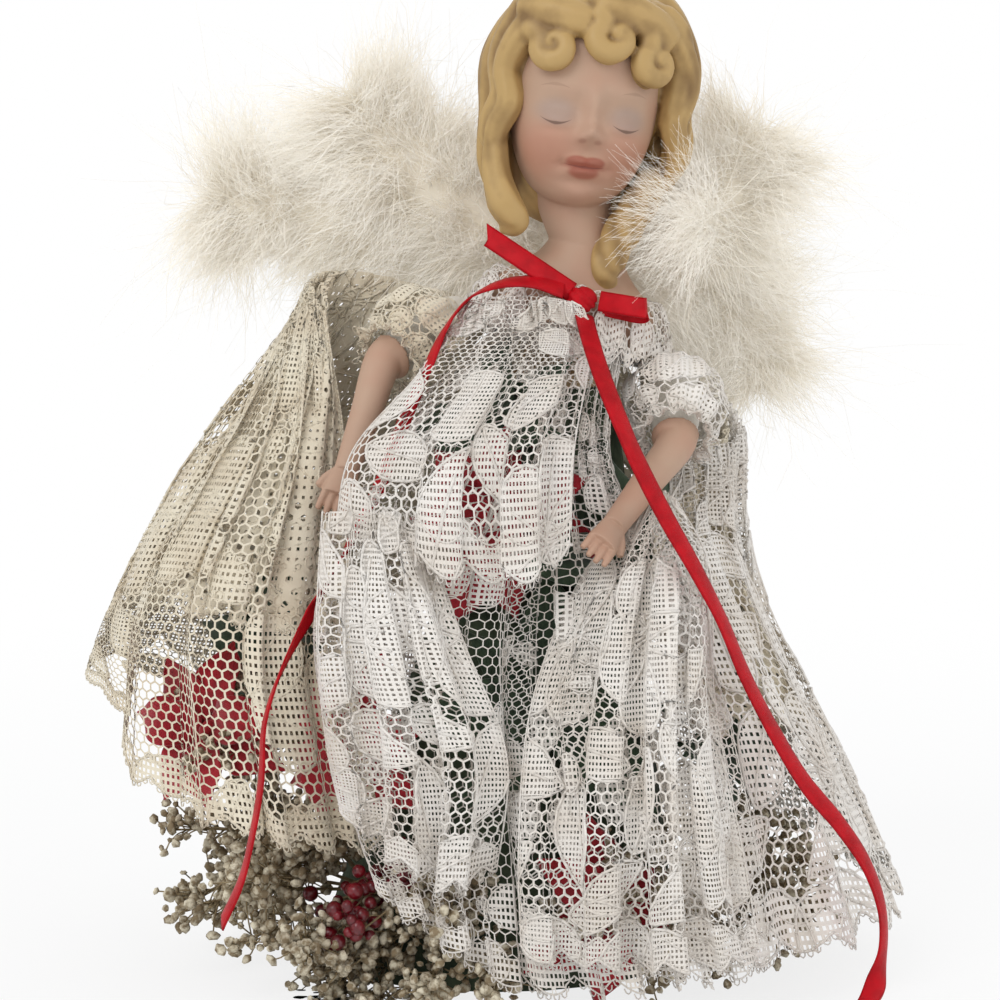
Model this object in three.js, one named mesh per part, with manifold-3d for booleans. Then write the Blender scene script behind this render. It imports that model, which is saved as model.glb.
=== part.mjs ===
// Angel ornament: bisque head and arms, marabou wings and a lace dress over a flowered card cone.
// Millimetres, +Z up, the front faces -Y. Right and left are the angel's own, so its right is at -X.

import * as THREE from 'three';
import { mergeVertices } from 'three/addons/utils/BufferGeometryUtils.js';
import Module from 'manifold-3d';

const wasm = await Module();
wasm.setup();

// Clearances and shared small sizes
const seatGap = 0.3;
const overrun = 2;
const weldDistance = 1e-4;
const full = 2 * Math.PI;

// Core cone, open beneath, that leans towards the angel's left as the figure does
const coneHeight = 97;
const coneBaseRadius = 31;
const coneTopRadius = 9;
const coneWall = 1.2;
const coneLean = 11;
const coneSides = 24;

// Plug in the mouth of the cone and the head that carries the shoulder plate
const plugDepth = 12;
const flangeHeight = 2.2;
const plugHeadRadius = 6;
const plugHeadDrop = 6;
const plugHeadRise = 4.6;

// Torso frame: middle of the arm wire, and the roll that drops the left shoulder
const torsoRise = 7;
const torsoRoll = THREE.MathUtils.degToRad(14);
const wireRadius = 0.7;
const wireHalfSpan = 23.5;

// Shoulder plate and neck of the bisque head casting
const plateHalfWidth = 15;
const plateDepthShare = 0.72;
const plateLift = 1.8;
const plateHeight = 7.5;
const plateShellTop = 1.4;
const neckRadius = 5.6;

// Head
const headHalfWidth = 12.4;
const headHalfHeight = 17;
const headHalfDepth = 14;
const headRoll = THREE.MathUtils.degToRad(7.5);
const headOffset = 3.6;
const headRise = 41.5;
const curlRadius = 4.3;

// Collar and lace
const collarHalfWidth = 12.4;
const collarRise = 6.6;
const collarTube = 1.3;
const laceLift = 1.6;
const collarRuffles = 11;
const laceThickness = 0.9;
const openingShare = 2;
const frontFoldDepth = 1.4;
const bellFoldDepth = 1.6;
const skirtHalfWidth = 68;
const skirtHalfDepth = 58;
const skirtRise = 18;
const skirtHeight = coneHeight + skirtRise;

// Arms
const forearmTopRadius = 4.1;
const wristRadius = 2.1;
const upperArmRadius = 4.1;
const sleeveBulge = 3.4;
const sleeveWall = 0.8;
const palmLength = 4.6;
const fingerLength = 4.4;
const fingerRadius = 0.62;

// Wings
const plumeHalfThickness = 2.3;
const plumeQuillRadius = 0.9;
const wingReach = 66;

// Ribbon
const ribbonWidth = 3.4;
const ribbonThickness = 0.4;
const knotRadius = 2.6;
const knotShift = 1;
const cutEndReach = new THREE.Vector3(-10.2, -1.2, 8.6);
const loopReach = new THREE.Vector3(9.4, -0.6, -1.6);
const loopFold = 1.5;
const ribbonBow = 0.5;

// Flowers, leaves, dried sprays and berries
const petalLength = 17;
const petalHalfWidth = 4.4;
const petalThickness = 0.8;
const petalLift = 1;
const petalDroop = 3;
const leafLift = 2.4;
const leafDroop = 2;
const leafLength = 20;
const leafHalfWidth = 4.6;
const stemRadius = 0.7;
const budRadius = 1.9;
const berryRadius = 1.35;

// Points shared by several pieces
const torsoCentre = new THREE.Vector3(coneLean, 0, coneHeight + torsoRise);
const torsoMatrix = new THREE.Matrix4().makeRotationY(torsoRoll).setPosition(torsoCentre);
const headCentre = new THREE.Vector3(coneLean + headOffset, -neckRadius / 2, torsoCentre.z + headRise);

// Solid helpers
function toManifold(geometry) {
  const bare = geometry.clone();
  bare.deleteAttribute('normal');
  bare.deleteAttribute('uv');
  const merged = mergeVertices(bare, weldDistance);
  return new wasm.Manifold(new wasm.Mesh({
    numProp: 3,
    vertProperties: new Float32Array(merged.attributes.position.array),
    triVerts: new Uint32Array(merged.index.array),
  }));
}

function toGeometry(manifold) {
  const mesh = manifold.getMesh();
  const geometry = new THREE.BufferGeometry();
  geometry.setAttribute('position', new THREE.BufferAttribute(new Float32Array(mesh.vertProperties), 3));
  geometry.setIndex(new THREE.BufferAttribute(new Uint32Array(mesh.triVerts), 1));
  return geometry;
}

function join(geometries) {
  return toGeometry(geometries.map(toManifold).reduce((sum, piece) => sum.add(piece)));
}

// A casting is solid: the small voids that a join shuts in are dropped
function joinCasting(geometries) {
  const parts = toManifold(join(geometries)).decompose();
  return toGeometry(parts.filter((part) => part.volume() > 0).reduce((sum, part) => sum.add(part)));
}

function cut(geometry, tools) {
  return toGeometry(tools.map(toManifold).reduce((rest, tool) => rest.subtract(tool), toManifold(geometry)));
}

// Skin over a row of rings with the same number of points, closed by a fan at each end
function skinRings(rings) {
  const count = rings[0].length;
  const points = rings.flat();
  const index = [];
  for (let row = 0; row + 1 < rings.length; row += 1) {
    for (let k = 0; k < count; k += 1) {
      const a = row * count + k;
      const b = row * count + ((k + 1) % count);
      index.push(a, b, b + count, a, b + count, a + count);
    }
  }
  const middleOf = (ring) => ring.reduce((sum, p) => sum.add(p), new THREE.Vector3()).divideScalar(count);
  const first = points.push(middleOf(rings[0])) - 1;
  const last = points.push(middleOf(rings[rings.length - 1])) - 1;
  const lastRow = (rings.length - 1) * count;
  for (let k = 0; k < count; k += 1) {
    const next = (k + 1) % count;
    index.push(first, next, k);
    index.push(last, lastRow + k, lastRow + next);
  }
  const geometry = new THREE.BufferGeometry().setFromPoints(points);
  geometry.setIndex(index);
  return geometry;
}

// Loft along a curve with an oval section; across is the direction of the section's half width
function loftAlong(curve, steps, sides, across, halfWidthAt, halfHeightAt) {
  const rings = [];
  for (let step = 0; step <= steps; step += 1) {
    const t = step / steps;
    const centre = curve.getPoint(t);
    const along = curve.getTangent(t);
    const side = across.clone().addScaledVector(along, -across.dot(along)).normalize();
    const rise = new THREE.Vector3().crossVectors(along, side);
    rings.push(Array.from({ length: sides }, (_, k) => {
      const angle = (k / sides) * full;
      return centre.clone()
        .addScaledVector(side, Math.cos(angle) * halfWidthAt(t))
        .addScaledVector(rise, Math.sin(angle) * halfHeightAt(t));
    }));
  }
  return skinRings(rings);
}

// Place of a grid line where bars and openings take turns, with the bars first and last
function barPlace(step, steps) {
  const width = (k) => Math.ceil(k / 2) + Math.floor(k / 2) * openingShare;
  return width(step) / width(steps);
}

// Closed sheet of even thickness about a surface pointAt(u, t), with u and t from 0 to 1. Where it is
// pierced, every cell in an odd column and an odd row is an opening.
function thickSheet(pointAt, columns, rows, thickness, pierced) {
  const count = columns + 1;
  const delta = 1e-3;
  const front = [];
  const back = [];
  for (let row = 0; row <= rows; row += 1) {
    for (let column = 0; column <= columns; column += 1) {
      const u = pierced ? barPlace(column, columns) : column / columns;
      const t = pierced ? barPlace(row, rows) : row / rows;
      const du = pointAt(Math.min(u + delta, 1), t).sub(pointAt(Math.max(u - delta, 0), t));
      const dt = pointAt(u, Math.min(t + delta, 1)).sub(pointAt(u, Math.max(t - delta, 0)));
      const normal = dt.cross(du).normalize();
      const point = pointAt(u, t);
      front.push(point.clone().addScaledVector(normal, thickness / 2));
      back.push(point.addScaledVector(normal, -thickness / 2));
    }
  }
  const offset = front.length;
  const index = [];
  const quad = (a, b, c, d) => index.push(a, b, c, a, c, d);
  for (let row = 0; row < rows; row += 1) {
    for (let column = 0; column < columns; column += 1) {
      const a = row * count + column;
      const ring = [a, a + count, a + count + 1, a + 1];
      if (pierced && row % 2 && column % 2) {
        ring.forEach((from, k) => {
          const to = ring[(k + 1) % ring.length];
          quad(from, to, offset + to, offset + from);
        });
      } else {
        quad(...ring);
        quad(...ring.map((k) => offset + k).reverse());
      }
    }
  }
  for (let column = 0; column < columns; column += 1) {
    const low = rows * count + column;
    quad(column, column + 1, offset + column + 1, offset + column);
    quad(low + 1, low, offset + low, offset + low + 1);
  }
  for (let row = 0; row < rows; row += 1) {
    const a = row * count;
    const b = a + columns;
    quad(a + count, a, offset + a, offset + a + count);
    quad(b, b + count, offset + b + count, offset + b);
  }
  const geometry = new THREE.BufferGeometry().setFromPoints([...front, ...back]);
  geometry.setIndex(index);
  return geometry;
}

function roundRod(from, to, radius, sides) {
  const corners = Array.from({ length: sides }, (_, k) => {
    const angle = (k / sides) * full;
    return new THREE.Vector2(Math.cos(angle), Math.sin(angle)).multiplyScalar(radius);
  });
  const path = new THREE.LineCurve3(from, to);
  return new THREE.ExtrudeGeometry(new THREE.Shape(corners), { steps: 1, extrudePath: path });
}

function ball(centre, radius, sides) {
  return new THREE.SphereGeometry(radius, sides, sides - 2).translate(centre.x, centre.y, centre.z);
}

// Core cone and what stands in its mouth
function coneRadiusAt(height) {
  return THREE.MathUtils.lerp(coneBaseRadius, coneTopRadius, height / coneHeight);
}

function leanWithHeight(geometry) {
  const shear = new THREE.Matrix4().makeShear(0, 0, 0, 0, coneLean / coneHeight, 0);
  return geometry.rotateX(Math.PI / 2).applyMatrix4(shear);
}

function lathe(profile, sides) {
  return new THREE.LatheGeometry(profile.map(([radius, height]) => new THREE.Vector2(radius, height)), sides);
}

function coreCone() {
  return leanWithHeight(lathe([
    [coneBaseRadius - coneWall, 0],
    [coneBaseRadius, 0],
    [coneTopRadius, coneHeight],
    [coneTopRadius - coneWall, coneHeight],
    [coneBaseRadius - coneWall, 0],
  ], coneSides));
}

function topPlug() {
  const boreAt = (height) => coneRadiusAt(height) - coneWall - seatGap;
  const foot = coneHeight - plugDepth;
  const seat = coneHeight + seatGap;
  const body = leanWithHeight(lathe([
    [0, foot],
    [boreAt(foot), foot],
    [boreAt(coneHeight), seat],
    [coneTopRadius, seat],
    [coneTopRadius, seat + flangeHeight],
    [0, seat + flangeHeight],
  ], coneSides));
  const head = lathe([
    [0, -plugHeadDrop],
    [plugHeadRadius, -plugHeadDrop],
    [plugHeadRadius, plugHeadRise],
    [0, plugHeadRise],
  ], coneSides).rotateX(Math.PI / 2).applyMatrix4(torsoMatrix);
  return cut(join([body, head]), [wireRod(wireRadius + seatGap, wireHalfSpan)]);
}

function wireRod(radius, halfSpan) {
  const ends = [-halfSpan, halfSpan].map((x) => new THREE.Vector3(x, 0, 0).applyMatrix4(torsoMatrix));
  return roundRod(ends[0], ends[1], radius, 8);
}

// Head casting: shoulder plate, neck, face and moulded curls in one piece
function shoulderPlate() {
  const profile = [
    [0, 0], [1, 0], [0.97, 0.24], [0.86, 0.52], [0.66, 0.76], [0.45, 0.9], [0.36, 1], [0, 1],
  ];
  const shape = ([radius, height]) => [radius * plateHalfWidth, plateLift + height * plateHeight];
  const plate = lathe(profile.map(shape), 20).rotateX(Math.PI / 2).scale(1, plateDepthShare, 1);
  const hollow = lathe([
    [0, plateLift - overrun],
    [plugHeadRadius + seatGap, plateLift - overrun],
    [plugHeadRadius + seatGap, plugHeadRise + seatGap],
    [0, plugHeadRise + seatGap],
  ], 20).rotateX(Math.PI / 2);
  return cut(plate, [hollow]).applyMatrix4(torsoMatrix);
}

function neck() {
  const from = new THREE.Vector3(0, 0, plateLift + plateHeight - plateShellTop).applyMatrix4(torsoMatrix);
  const to = headCentre.clone().add(new THREE.Vector3(0, neckRadius / 2, -headHalfHeight / 2));
  const curve = new THREE.LineCurve3(from, to);
  const waist = (t) => neckRadius * (1 + 0.22 * (2 * t - 1) ** 2);
  return loftAlong(curve, 5, 12, new THREE.Vector3(1, 0, 0), waist, waist);
}

// Unit face surface: a narrowing oval with brow, nose, lips, cheeks and chin added as soft mounds
const faceMoundShares = [
  { name: 'nose', x: 0, z: -0.2, width: 0.12, height: 0.2, rise: 0.22 },
  { name: 'lips', x: 0, z: -0.46, width: 0.16, height: 0.07, rise: 0.09 },
  { name: 'chin', x: 0, z: -0.74, width: 0.18, height: 0.14, rise: 0.1 },
  { name: 'right lid', x: -0.4, z: 0.02, width: 0.17, height: 0.11, rise: 0.05 },
  { name: 'left lid', x: 0.4, z: 0.02, width: 0.17, height: 0.11, rise: 0.05 },
  { name: 'right cheek', x: -0.5, z: -0.32, width: 0.26, height: 0.24, rise: 0.06 },
  { name: 'left cheek', x: 0.5, z: -0.32, width: 0.26, height: 0.24, rise: 0.06 },
];

function facePoint(around, down) {
  const z = Math.cos(down);
  const jaw = 1 - 0.2 * THREE.MathUtils.smoothstep(-z, 0.1, 1);
  const x = Math.sin(down) * Math.sin(around) * jaw;
  let y = -Math.sin(down) * Math.cos(around);
  if (y < 0) {
    for (const mound of faceMoundShares) {
      const across = (x - mound.x) / mound.width;
      const along = (z - mound.z) / mound.height;
      y -= mound.rise * Math.exp(-across * across - along * along) * Math.min(1, -2 * y);
    }
  }
  return new THREE.Vector3(x * headHalfWidth, y * headHalfDepth, z * headHalfHeight);
}

function faceShell() {
  const columns = 20;
  const rows = 14;
  const rings = [];
  for (let row = 1; row < rows; row += 1) {
    const down = Math.PI * (1 - row / rows);
    rings.push(Array.from({ length: columns }, (_, k) => facePoint((k / columns) * full, down)));
  }
  return skinRings(rings);
}

// Curls: a flat roll each, placed by shares of the head's half sizes and turned to face outwards
const curlShares = [
  { at: [-0.44, -0.84, 0.6], size: 1.15 },
  { at: [0.16, -0.94, 0.58], size: 1.05 },
  { at: [0.6, -0.84, 0.4], size: 1 },
  { at: [-0.12, -0.7, 0.86], size: 1 },
  { at: [0.46, -0.62, 0.8], size: 1 },
  { at: [-0.66, -0.4, 0.84], size: 0.9 },
  { at: [0.98, -0.5, 0.3], size: 0.9 },
];

function headPlace(shares) {
  return new THREE.Vector3(shares[0] * headHalfWidth, shares[1] * headHalfDepth, shares[2] * headHalfHeight);
}

function curl({ at, size }) {
  const tube = curlRadius * size * 0.46;
  const ring = new THREE.TorusGeometry(curlRadius * size * 0.62, tube, 4, 8);
  const core = new THREE.SphereGeometry(tube * 1.3, 6, 3);
  const place = headPlace(at);
  const outward = place.clone().normalize();
  const turn = new THREE.Quaternion().setFromUnitVectors(new THREE.Vector3(0, 0, 1), outward);
  return [ring, core].map((shape) => shape.applyQuaternion(turn).translate(place.x, place.y, place.z));
}

// Locks: tapered rolls of hair from the crown down each side, by shares of the head's half sizes
const lockShares = [
  { route: [[-0.3, -0.2, 0.9], [-1.05, -0.3, 0.62], [-1.24, -0.3, 0], [-1.1, -0.3, -0.7]], size: 0.3 },
  { route: [[-0.4, -0.6, 0.7], [-0.96, -0.56, 0.3], [-1.08, -0.5, -0.3], [-0.86, -0.4, -1]], size: 0.24 },
  { route: [[-0.9, 0.3, 0.5], [-1.2, 0.2, 0], [-1.1, 0.1, -0.6], [-0.7, 0.2, -1]], size: 0.34 },
  { route: [[0.3, -0.2, 0.9], [1.05, -0.3, 0.62], [1.24, -0.3, 0], [1.02, -0.1, -0.7]], size: 0.3 },
  { route: [[0.7, -0.6, 0.4], [0.98, -0.56, 0.1], [1.04, -0.4, -0.4], [0.9, -0.1, -0.9]], size: 0.22 },
  { route: [[0.9, 0.3, 0.5], [1.2, 0.2, 0], [1.1, 0.1, -0.6], [0.7, 0.2, -1]], size: 0.34 },
  { route: [[0.95, 0, -0.4], [0.9, -0.1, -0.8], [0.66, -0.2, -1.15], [0.5, -0.26, -1.45]], size: 0.24 },
];

function lock({ route, size }) {
  const curve = new THREE.CatmullRomCurve3(route.map(headPlace));
  const radius = (t) => headHalfWidth * size * (1 - 0.45 * t * t) * (1 + 0.08 * Math.sin(3 * full * t));
  return loftAlong(curve, 5, 6, new THREE.Vector3(0, 1, 0), radius, radius);
}

const capWidthShare = 1.26;
const capDepthShare = 1.04;
const capHeightShare = 0.94;

function hairCap() {
  const cap = new THREE.SphereGeometry(1, 16, 9);
  cap.scale(headHalfWidth * capWidthShare, headHalfDepth * capDepthShare, headHalfHeight * capHeightShare);
  cap.translate(0, headHalfDepth * 0.26, headHalfHeight * 0.2);
  const nape = new THREE.SphereGeometry(1, 14, 7);
  nape.scale(headHalfWidth * 1.1, headHalfDepth * 0.66, headHalfHeight * 0.72);
  nape.translate(0, headHalfDepth * 0.5, -headHalfHeight * 0.5);
  return [cap, nape];
}

function headCasting() {
  const placeHead = new THREE.Matrix4().makeRotationY(headRoll).setPosition(headCentre);
  const hair = [...hairCap(), ...lockShares.map(lock), ...curlShares.flatMap(curl)];
  const head = join([faceShell(), ...hair]).applyMatrix4(placeHead);
  return joinCasting([shoulderPlate(), neck(), head]);
}

// Collar: the gathered neckline, a ruffled ring that lies on the shoulder plate
function collar() {
  const steps = 4 * collarRuffles;
  const sides = 5;
  const rings = Array.from({ length: steps }, (_, step) => {
    const angle = (step / steps) * full;
    const ruffle = 1 + 0.22 * Math.sin(collarRuffles * angle);
    const outward = new THREE.Vector3(Math.sin(angle), -Math.cos(angle), 0);
    const centre = new THREE.Vector3(
      collarHalfWidth * outward.x,
      collarHalfWidth * plateDepthShare * outward.y,
      plateLift + collarRise,
    );
    return Array.from({ length: sides }, (__, k) => {
      const turn = (k / sides) * full;
      return centre.clone()
        .addScaledVector(outward, Math.cos(turn) * collarTube * ruffle)
        .add(new THREE.Vector3(0, 0, Math.sin(turn) * collarTube * 1.2 * ruffle))
        .applyMatrix4(torsoMatrix);
    });
  });
  return skinClosed(rings);
}

// Skin over rings whose last ring meets the first
function skinClosed(rings) {
  const count = rings[0].length;
  const index = [];
  for (let row = 0; row < rings.length; row += 1) {
    const here = row * count;
    const next = ((row + 1) % rings.length) * count;
    for (let k = 0; k < count; k += 1) {
      const j = (k + 1) % count;
      index.push(here + k, next + j, here + j, here + k, next + k, next + j);
    }
  }
  const geometry = new THREE.BufferGeometry().setFromPoints(rings.flat());
  geometry.setIndex(index);
  return geometry;
}

// Lace panels: a loft through rows of guide points from the top edge to the hem, with gathered folds.
// Each guide point is given in shares of the skirt's half width, half depth and height, or, where the edge
// lies against the shoulder plate, as a bearing in degrees from the front.
const frontRightShares = [
  [-38, -28, -18, -8, 2],
  [
    [-0.29, -0.35, 0.76], [-0.22, -0.42, 0.77], [-0.09, -0.45, 0.77],
    [0.04, -0.44, 0.76], [0.11, -0.35, 0.76],
  ],
  [[-0.41, -0.57, 0.55], [-0.34, -0.68, 0.56], [-0.2, -0.7, 0.57], [-0.05, -0.66, 0.56], [0.04, -0.46, 0.54]],
  [
    [-0.38, -0.73, 0.36], [-0.31, -0.84, 0.34], [-0.18, -0.84, 0.33],
    [-0.05, -0.78, 0.32], [0.03, -0.6, 0.32],
  ],
  [[-0.27, -0.83, 0.17], [-0.2, -0.88, 0.14], [-0.11, -0.88, 0.1], [-0.01, -0.88, 0.06], [0.09, -0.84, 0.04]],
];
const frontLeftShares = [
  [6, 14, 22, 30, 38],
  [[0.14, -0.34, 0.75], [0.17, -0.34, 0.76], [0.21, -0.33, 0.76], [0.25, -0.32, 0.75], [0.28, -0.31, 0.74]],
  [[0.07, -0.46, 0.54], [0.16, -0.58, 0.56], [0.27, -0.61, 0.56], [0.38, -0.58, 0.55], [0.47, -0.52, 0.54]],
  [[0.06, -0.6, 0.32], [0.17, -0.85, 0.33], [0.3, -0.88, 0.33], [0.44, -0.84, 0.33], [0.57, -0.72, 0.33]],
  [[0.13, -0.84, 0.04], [0.26, -0.94, 0.05], [0.4, -0.96, 0.05], [0.54, -0.9, 0.05], [0.65, -0.8, 0.06]],
];
const capeShares = [
  [[-0.45, -0.04, 0.98], [-0.49, 0.01, 0.99], [-0.49, 0.07, 1], [-0.38, 0.16, 1.01], -136],
  [[-0.44, -0.2, 0.76], [-0.56, -0.26, 0.76], [-0.69, -0.14, 0.75], [-0.78, 0.1, 0.74], [-0.28, 0.42, 0.75]],
  [[-0.4, -0.4, 0.5], [-0.6, -0.6, 0.51], [-0.83, -0.42, 0.53], [-0.98, 0.07, 0.51], [-0.57, 0.62, 0.51]],
  [[-0.26, -0.64, 0.2], [-0.51, -0.82, 0.23], [-0.81, -0.62, 0.29], [-1, 0.1, 0.43], [-0.7, 0.66, 0.29]],
];
const sideShares = [
  [[0.37, -0.06, 0.72], [0.5, -0.02, 0.75], [0.61, 0.06, 0.77], [0.56, 0.17, 0.83], 128],
  [[0.41, -0.33, 0.6], [0.52, -0.31, 0.6], [0.62, 0, 0.59], [0.58, 0.27, 0.64], [0.42, 0.43, 0.69]],
  [[0.56, -0.57, 0.37], [0.7, -0.48, 0.36], [0.82, 0, 0.32], [0.77, 0.36, 0.34], [0.6, 0.64, 0.39]],
  [[0.7, -0.68, 0.05], [0.84, -0.58, 0.07], [1, 0, 0.07], [0.9, 0.5, 0.11], [0.68, 0.78, 0.13]],
];
const backShares = [
  [-146, -162, 178, 146],
  [[-0.22, 0.52, 0.75], [0, 0.62, 0.74], [0.2, 0.62, 0.72], [0.36, 0.54, 0.69]],
  [[-0.5, 0.76, 0.5], [-0.18, 0.9, 0.46], [0.2, 0.9, 0.42], [0.52, 0.78, 0.39]],
  [[-0.64, 0.8, 0.28], [-0.25, 0.96, 0.19], [0.22, 0.96, 0.14], [0.6, 0.89, 0.12]],
];

// A point of a panel's top edge, which lies against the shoulder plate at the given bearing from the front
function neckPoint(bearing) {
  const angle = THREE.MathUtils.degToRad(bearing);
  const clearance = Math.abs(bearing) > 120 && Math.abs(bearing) < 140 ? 0 : seatGap;
  const reach = plateHalfWidth + clearance + laceThickness / 2;
  const depth = plateHalfWidth * plateDepthShare + clearance + laceThickness / 2;
  const point = new THREE.Vector3(reach * Math.sin(angle), -depth * Math.cos(angle), plateLift + laceLift);
  return point.applyMatrix4(torsoMatrix);
}

const skirtScale = new THREE.Vector3(skirtHalfWidth, skirtHalfDepth, skirtHeight);

function guidePoint(entry) {
  return Array.isArray(entry) ? new THREE.Vector3(...entry).multiply(skirtScale) : neckPoint(entry);
}

function laceSurface(shares, folds, foldDepth) {
  const rows = shares.map((row) => new THREE.CatmullRomCurve3(
    row.map(guidePoint), false, 'catmullrom', 0.5,
  ));
  return (u, t) => {
    const point = new THREE.CatmullRomCurve3(rows.map((curve) => curve.getPoint(u))).getPoint(t);
    const outward = new THREE.Vector3(point.x - coneLean * (1 - t), point.y, 0).normalize();
    const wave = Math.sin(folds * full * u) * Math.sin(Math.PI * u) ** 0.5;
    return point.addScaledVector(outward, foldDepth * wave * Math.sqrt(t));
  };
}

function lacePanel(shares, folds, foldDepth, columns, rows, pierced) {
  return thickSheet(laceSurface(shares, folds, foldDepth), columns, rows, laceThickness, pierced);
}

// Arms: padded upper arm on the wire, bisque forearm with its hand, and the gathered sleeve
function armFrame(sideSign, elbow) {
  const reach = sideSign * (wireHalfSpan - upperArmRadius);
  const shoulder = new THREE.Vector3(reach, 0, 0).applyMatrix4(torsoMatrix);
  const along = elbow.clone().sub(shoulder).normalize();
  return { shoulder, along };
}

function upperArm(sideSign, elbow) {
  const { shoulder, along } = armFrame(sideSign, elbow);
  const from = shoulder.clone().addScaledVector(along, -upperArmRadius);
  const to = elbow.clone().addScaledVector(along, -seatGap);
  const cap = (t) => Math.sqrt(Math.min(1, 0.35 + 3 * t)) * Math.min(1, 0.72 + 3 * (1 - t));
  const width = (t) => upperArmRadius * cap(t);
  const body = loftAlong(new THREE.LineCurve3(from, to), 5, 10, new THREE.Vector3(0, 1, 0), width, width);
  return cut(body, [wireRod(wireRadius + seatGap, wireHalfSpan + overrun)]);
}

function sleeve(sideSign, elbow) {
  const { shoulder, along } = armFrame(sideSign, elbow);
  const from = shoulder.clone().addScaledVector(along, upperArmRadius * 0.5);
  const to = elbow.clone().addScaledVector(along, sleeveWall);
  const inner = upperArmRadius + seatGap;
  const curve = new THREE.LineCurve3(from, to);
  const puff = (t) => inner + sleeveWall + sleeveBulge * Math.sin(Math.PI * t) ** 0.7;
  const bore = (t) => inner + 0.4 * sleeveBulge * Math.sin(Math.PI * Math.min(1, Math.max(0, t)));
  const across = new THREE.Vector3(0, 1, 0);
  const shell = loftAlong(curve, 6, 10, across, puff, puff);
  const reach = new THREE.LineCurve3(
    from.clone().addScaledVector(along, -overrun),
    to.clone().addScaledVector(along, overrun),
  );
  const bounds = from.distanceTo(to);
  const share = overrun / (bounds + 2 * overrun);
  const boreWithOverrun = (t) => bore((t - share) / (1 - 2 * share));
  const hollow = loftAlong(reach, 5, 10, across, boreWithOverrun, boreWithOverrun);
  return cut(shell, [hollow]);
}

function forearm(sideSign, elbow, wrist, palmNormal, thumbSide) {
  const along = wrist.clone().sub(elbow).normalize();
  const leave = elbow.clone().addScaledVector(armFrame(sideSign, elbow).along, forearmTopRadius * 0.5);
  const bend = leave.clone().lerp(wrist, 0.45).addScaledVector(palmNormal, forearmTopRadius * 0.12);
  const curve = new THREE.CatmullRomCurve3([elbow, leave, bend, wrist]);
  const width = (t) => THREE.MathUtils.lerp(forearmTopRadius, wristRadius, t ** 0.8);
  const arm = loftAlong(curve, 7, 10, palmNormal, width, width);
  const across = new THREE.Vector3().crossVectors(along, palmNormal).normalize().multiplyScalar(thumbSide);
  const knuckles = wrist.clone().addScaledVector(along, palmLength);
  const palm = loftAlong(
    new THREE.LineCurve3(wrist.clone().addScaledVector(along, -wristRadius), knuckles), 4, 8, across,
    (t) => wristRadius * (0.9 + 0.42 * t), (t) => wristRadius * (0.92 - 0.36 * t),
  );
  const fingers = [-1, -0.34, 0.34, 1].map((place, k) => {
    const root = knuckles.clone()
      .addScaledVector(across, place * wristRadius * 0.92)
      .addScaledVector(along, -fingerRadius * 2);
    const tip = root.clone()
      .addScaledVector(along, fingerLength * [0.86, 1, 1.04, 0.92][k] + fingerRadius)
      .addScaledVector(palmNormal, -fingerRadius * 1.4)
      .addScaledVector(across, place * fingerRadius * 0.5);
    const size = (t) => fingerRadius * (1.12 - 0.5 * t * t);
    return loftAlong(new THREE.LineCurve3(root, tip), 2, 5, across, size, size);
  });
  const thumbRoot = wrist.clone().addScaledVector(across, wristRadius * 0.6);
  const thumbTip = thumbRoot.clone()
    .addScaledVector(along, palmLength * 0.9)
    .addScaledVector(across, wristRadius * 1.1)
    .addScaledVector(palmNormal, -fingerRadius);
  const thumbSize = (t) => fingerRadius * (1.3 - 0.45 * t * t);
  const thumb = loftAlong(new THREE.LineCurve3(thumbRoot, thumbTip), 2, 5, palmNormal, thumbSize, thumbSize);
  return join([arm, palm, ...fingers, thumb]);
}

// Wings: each plume is a soft blade with a lobed edge that narrows into its quill at the nape
function plume(root, bend, tip, halfWidth, lobes) {
  const curve = new THREE.CatmullRomCurve3([root, bend, tip]);
  const across = tip.clone().sub(root).cross(new THREE.Vector3(0, 1, 0)).normalize();
  const blade = (t) => Math.sin(Math.PI * Math.min(1, t * 0.94 + 0.03)) ** 0.62;
  const width = (t) => plumeQuillRadius + halfWidth * blade(t) * (1 + 0.1 * Math.sin(lobes * full * t));
  const height = (t) => plumeQuillRadius + plumeHalfThickness * blade(t);
  return loftAlong(curve, 14, 8, across, width, height);
}

// Ribbon: a flat band with rounded edges carried along a route, its flat side facing the given way
function band(points, facings, width, thickness, steps) {
  const curve = new THREE.CatmullRomCurve3(points);
  const facingCurve = new THREE.CatmullRomCurve3(facings);
  const sectionShares = [
    [-0.5, -0.2], [-0.42, -0.5], [0.42, -0.5], [0.5, -0.2],
    [0.5, 0.2], [0.42, 0.5], [-0.42, 0.5], [-0.5, 0.2],
  ];
  const rings = [];
  for (let step = 0; step <= steps; step += 1) {
    const t = step / steps;
    const centre = curve.getPoint(t);
    const along = curve.getTangent(t);
    const facing = facingCurve.getPoint(t);
    facing.addScaledVector(along, -facing.dot(along)).normalize();
    const side = new THREE.Vector3().crossVectors(facing, along);
    rings.push(sectionShares.map(([across, up]) => centre.clone()
      .addScaledVector(side, across * width)
      .addScaledVector(facing, up * thickness)));
  }
  return skinRings(rings);
}

const knotCentre = new THREE.Vector3(knotShift, -collarHalfWidth * plateDepthShare, 0);
knotCentre.y -= collarTube * 1.22 + seatGap + knotRadius * 0.62;
knotCentre.z = plateLift + collarRise;
knotCentre.applyMatrix4(torsoMatrix);

function ribbonKnot() {
  const knot = new THREE.SphereGeometry(knotRadius, 12, 8);
  return knot.scale(1, 0.6, 0.82).translate(knotCentre.x, knotCentre.y, knotCentre.z);
}

const frontFacing = new THREE.Vector3(0, -1, 0);
const knotSide = knotRadius + seatGap;

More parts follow.
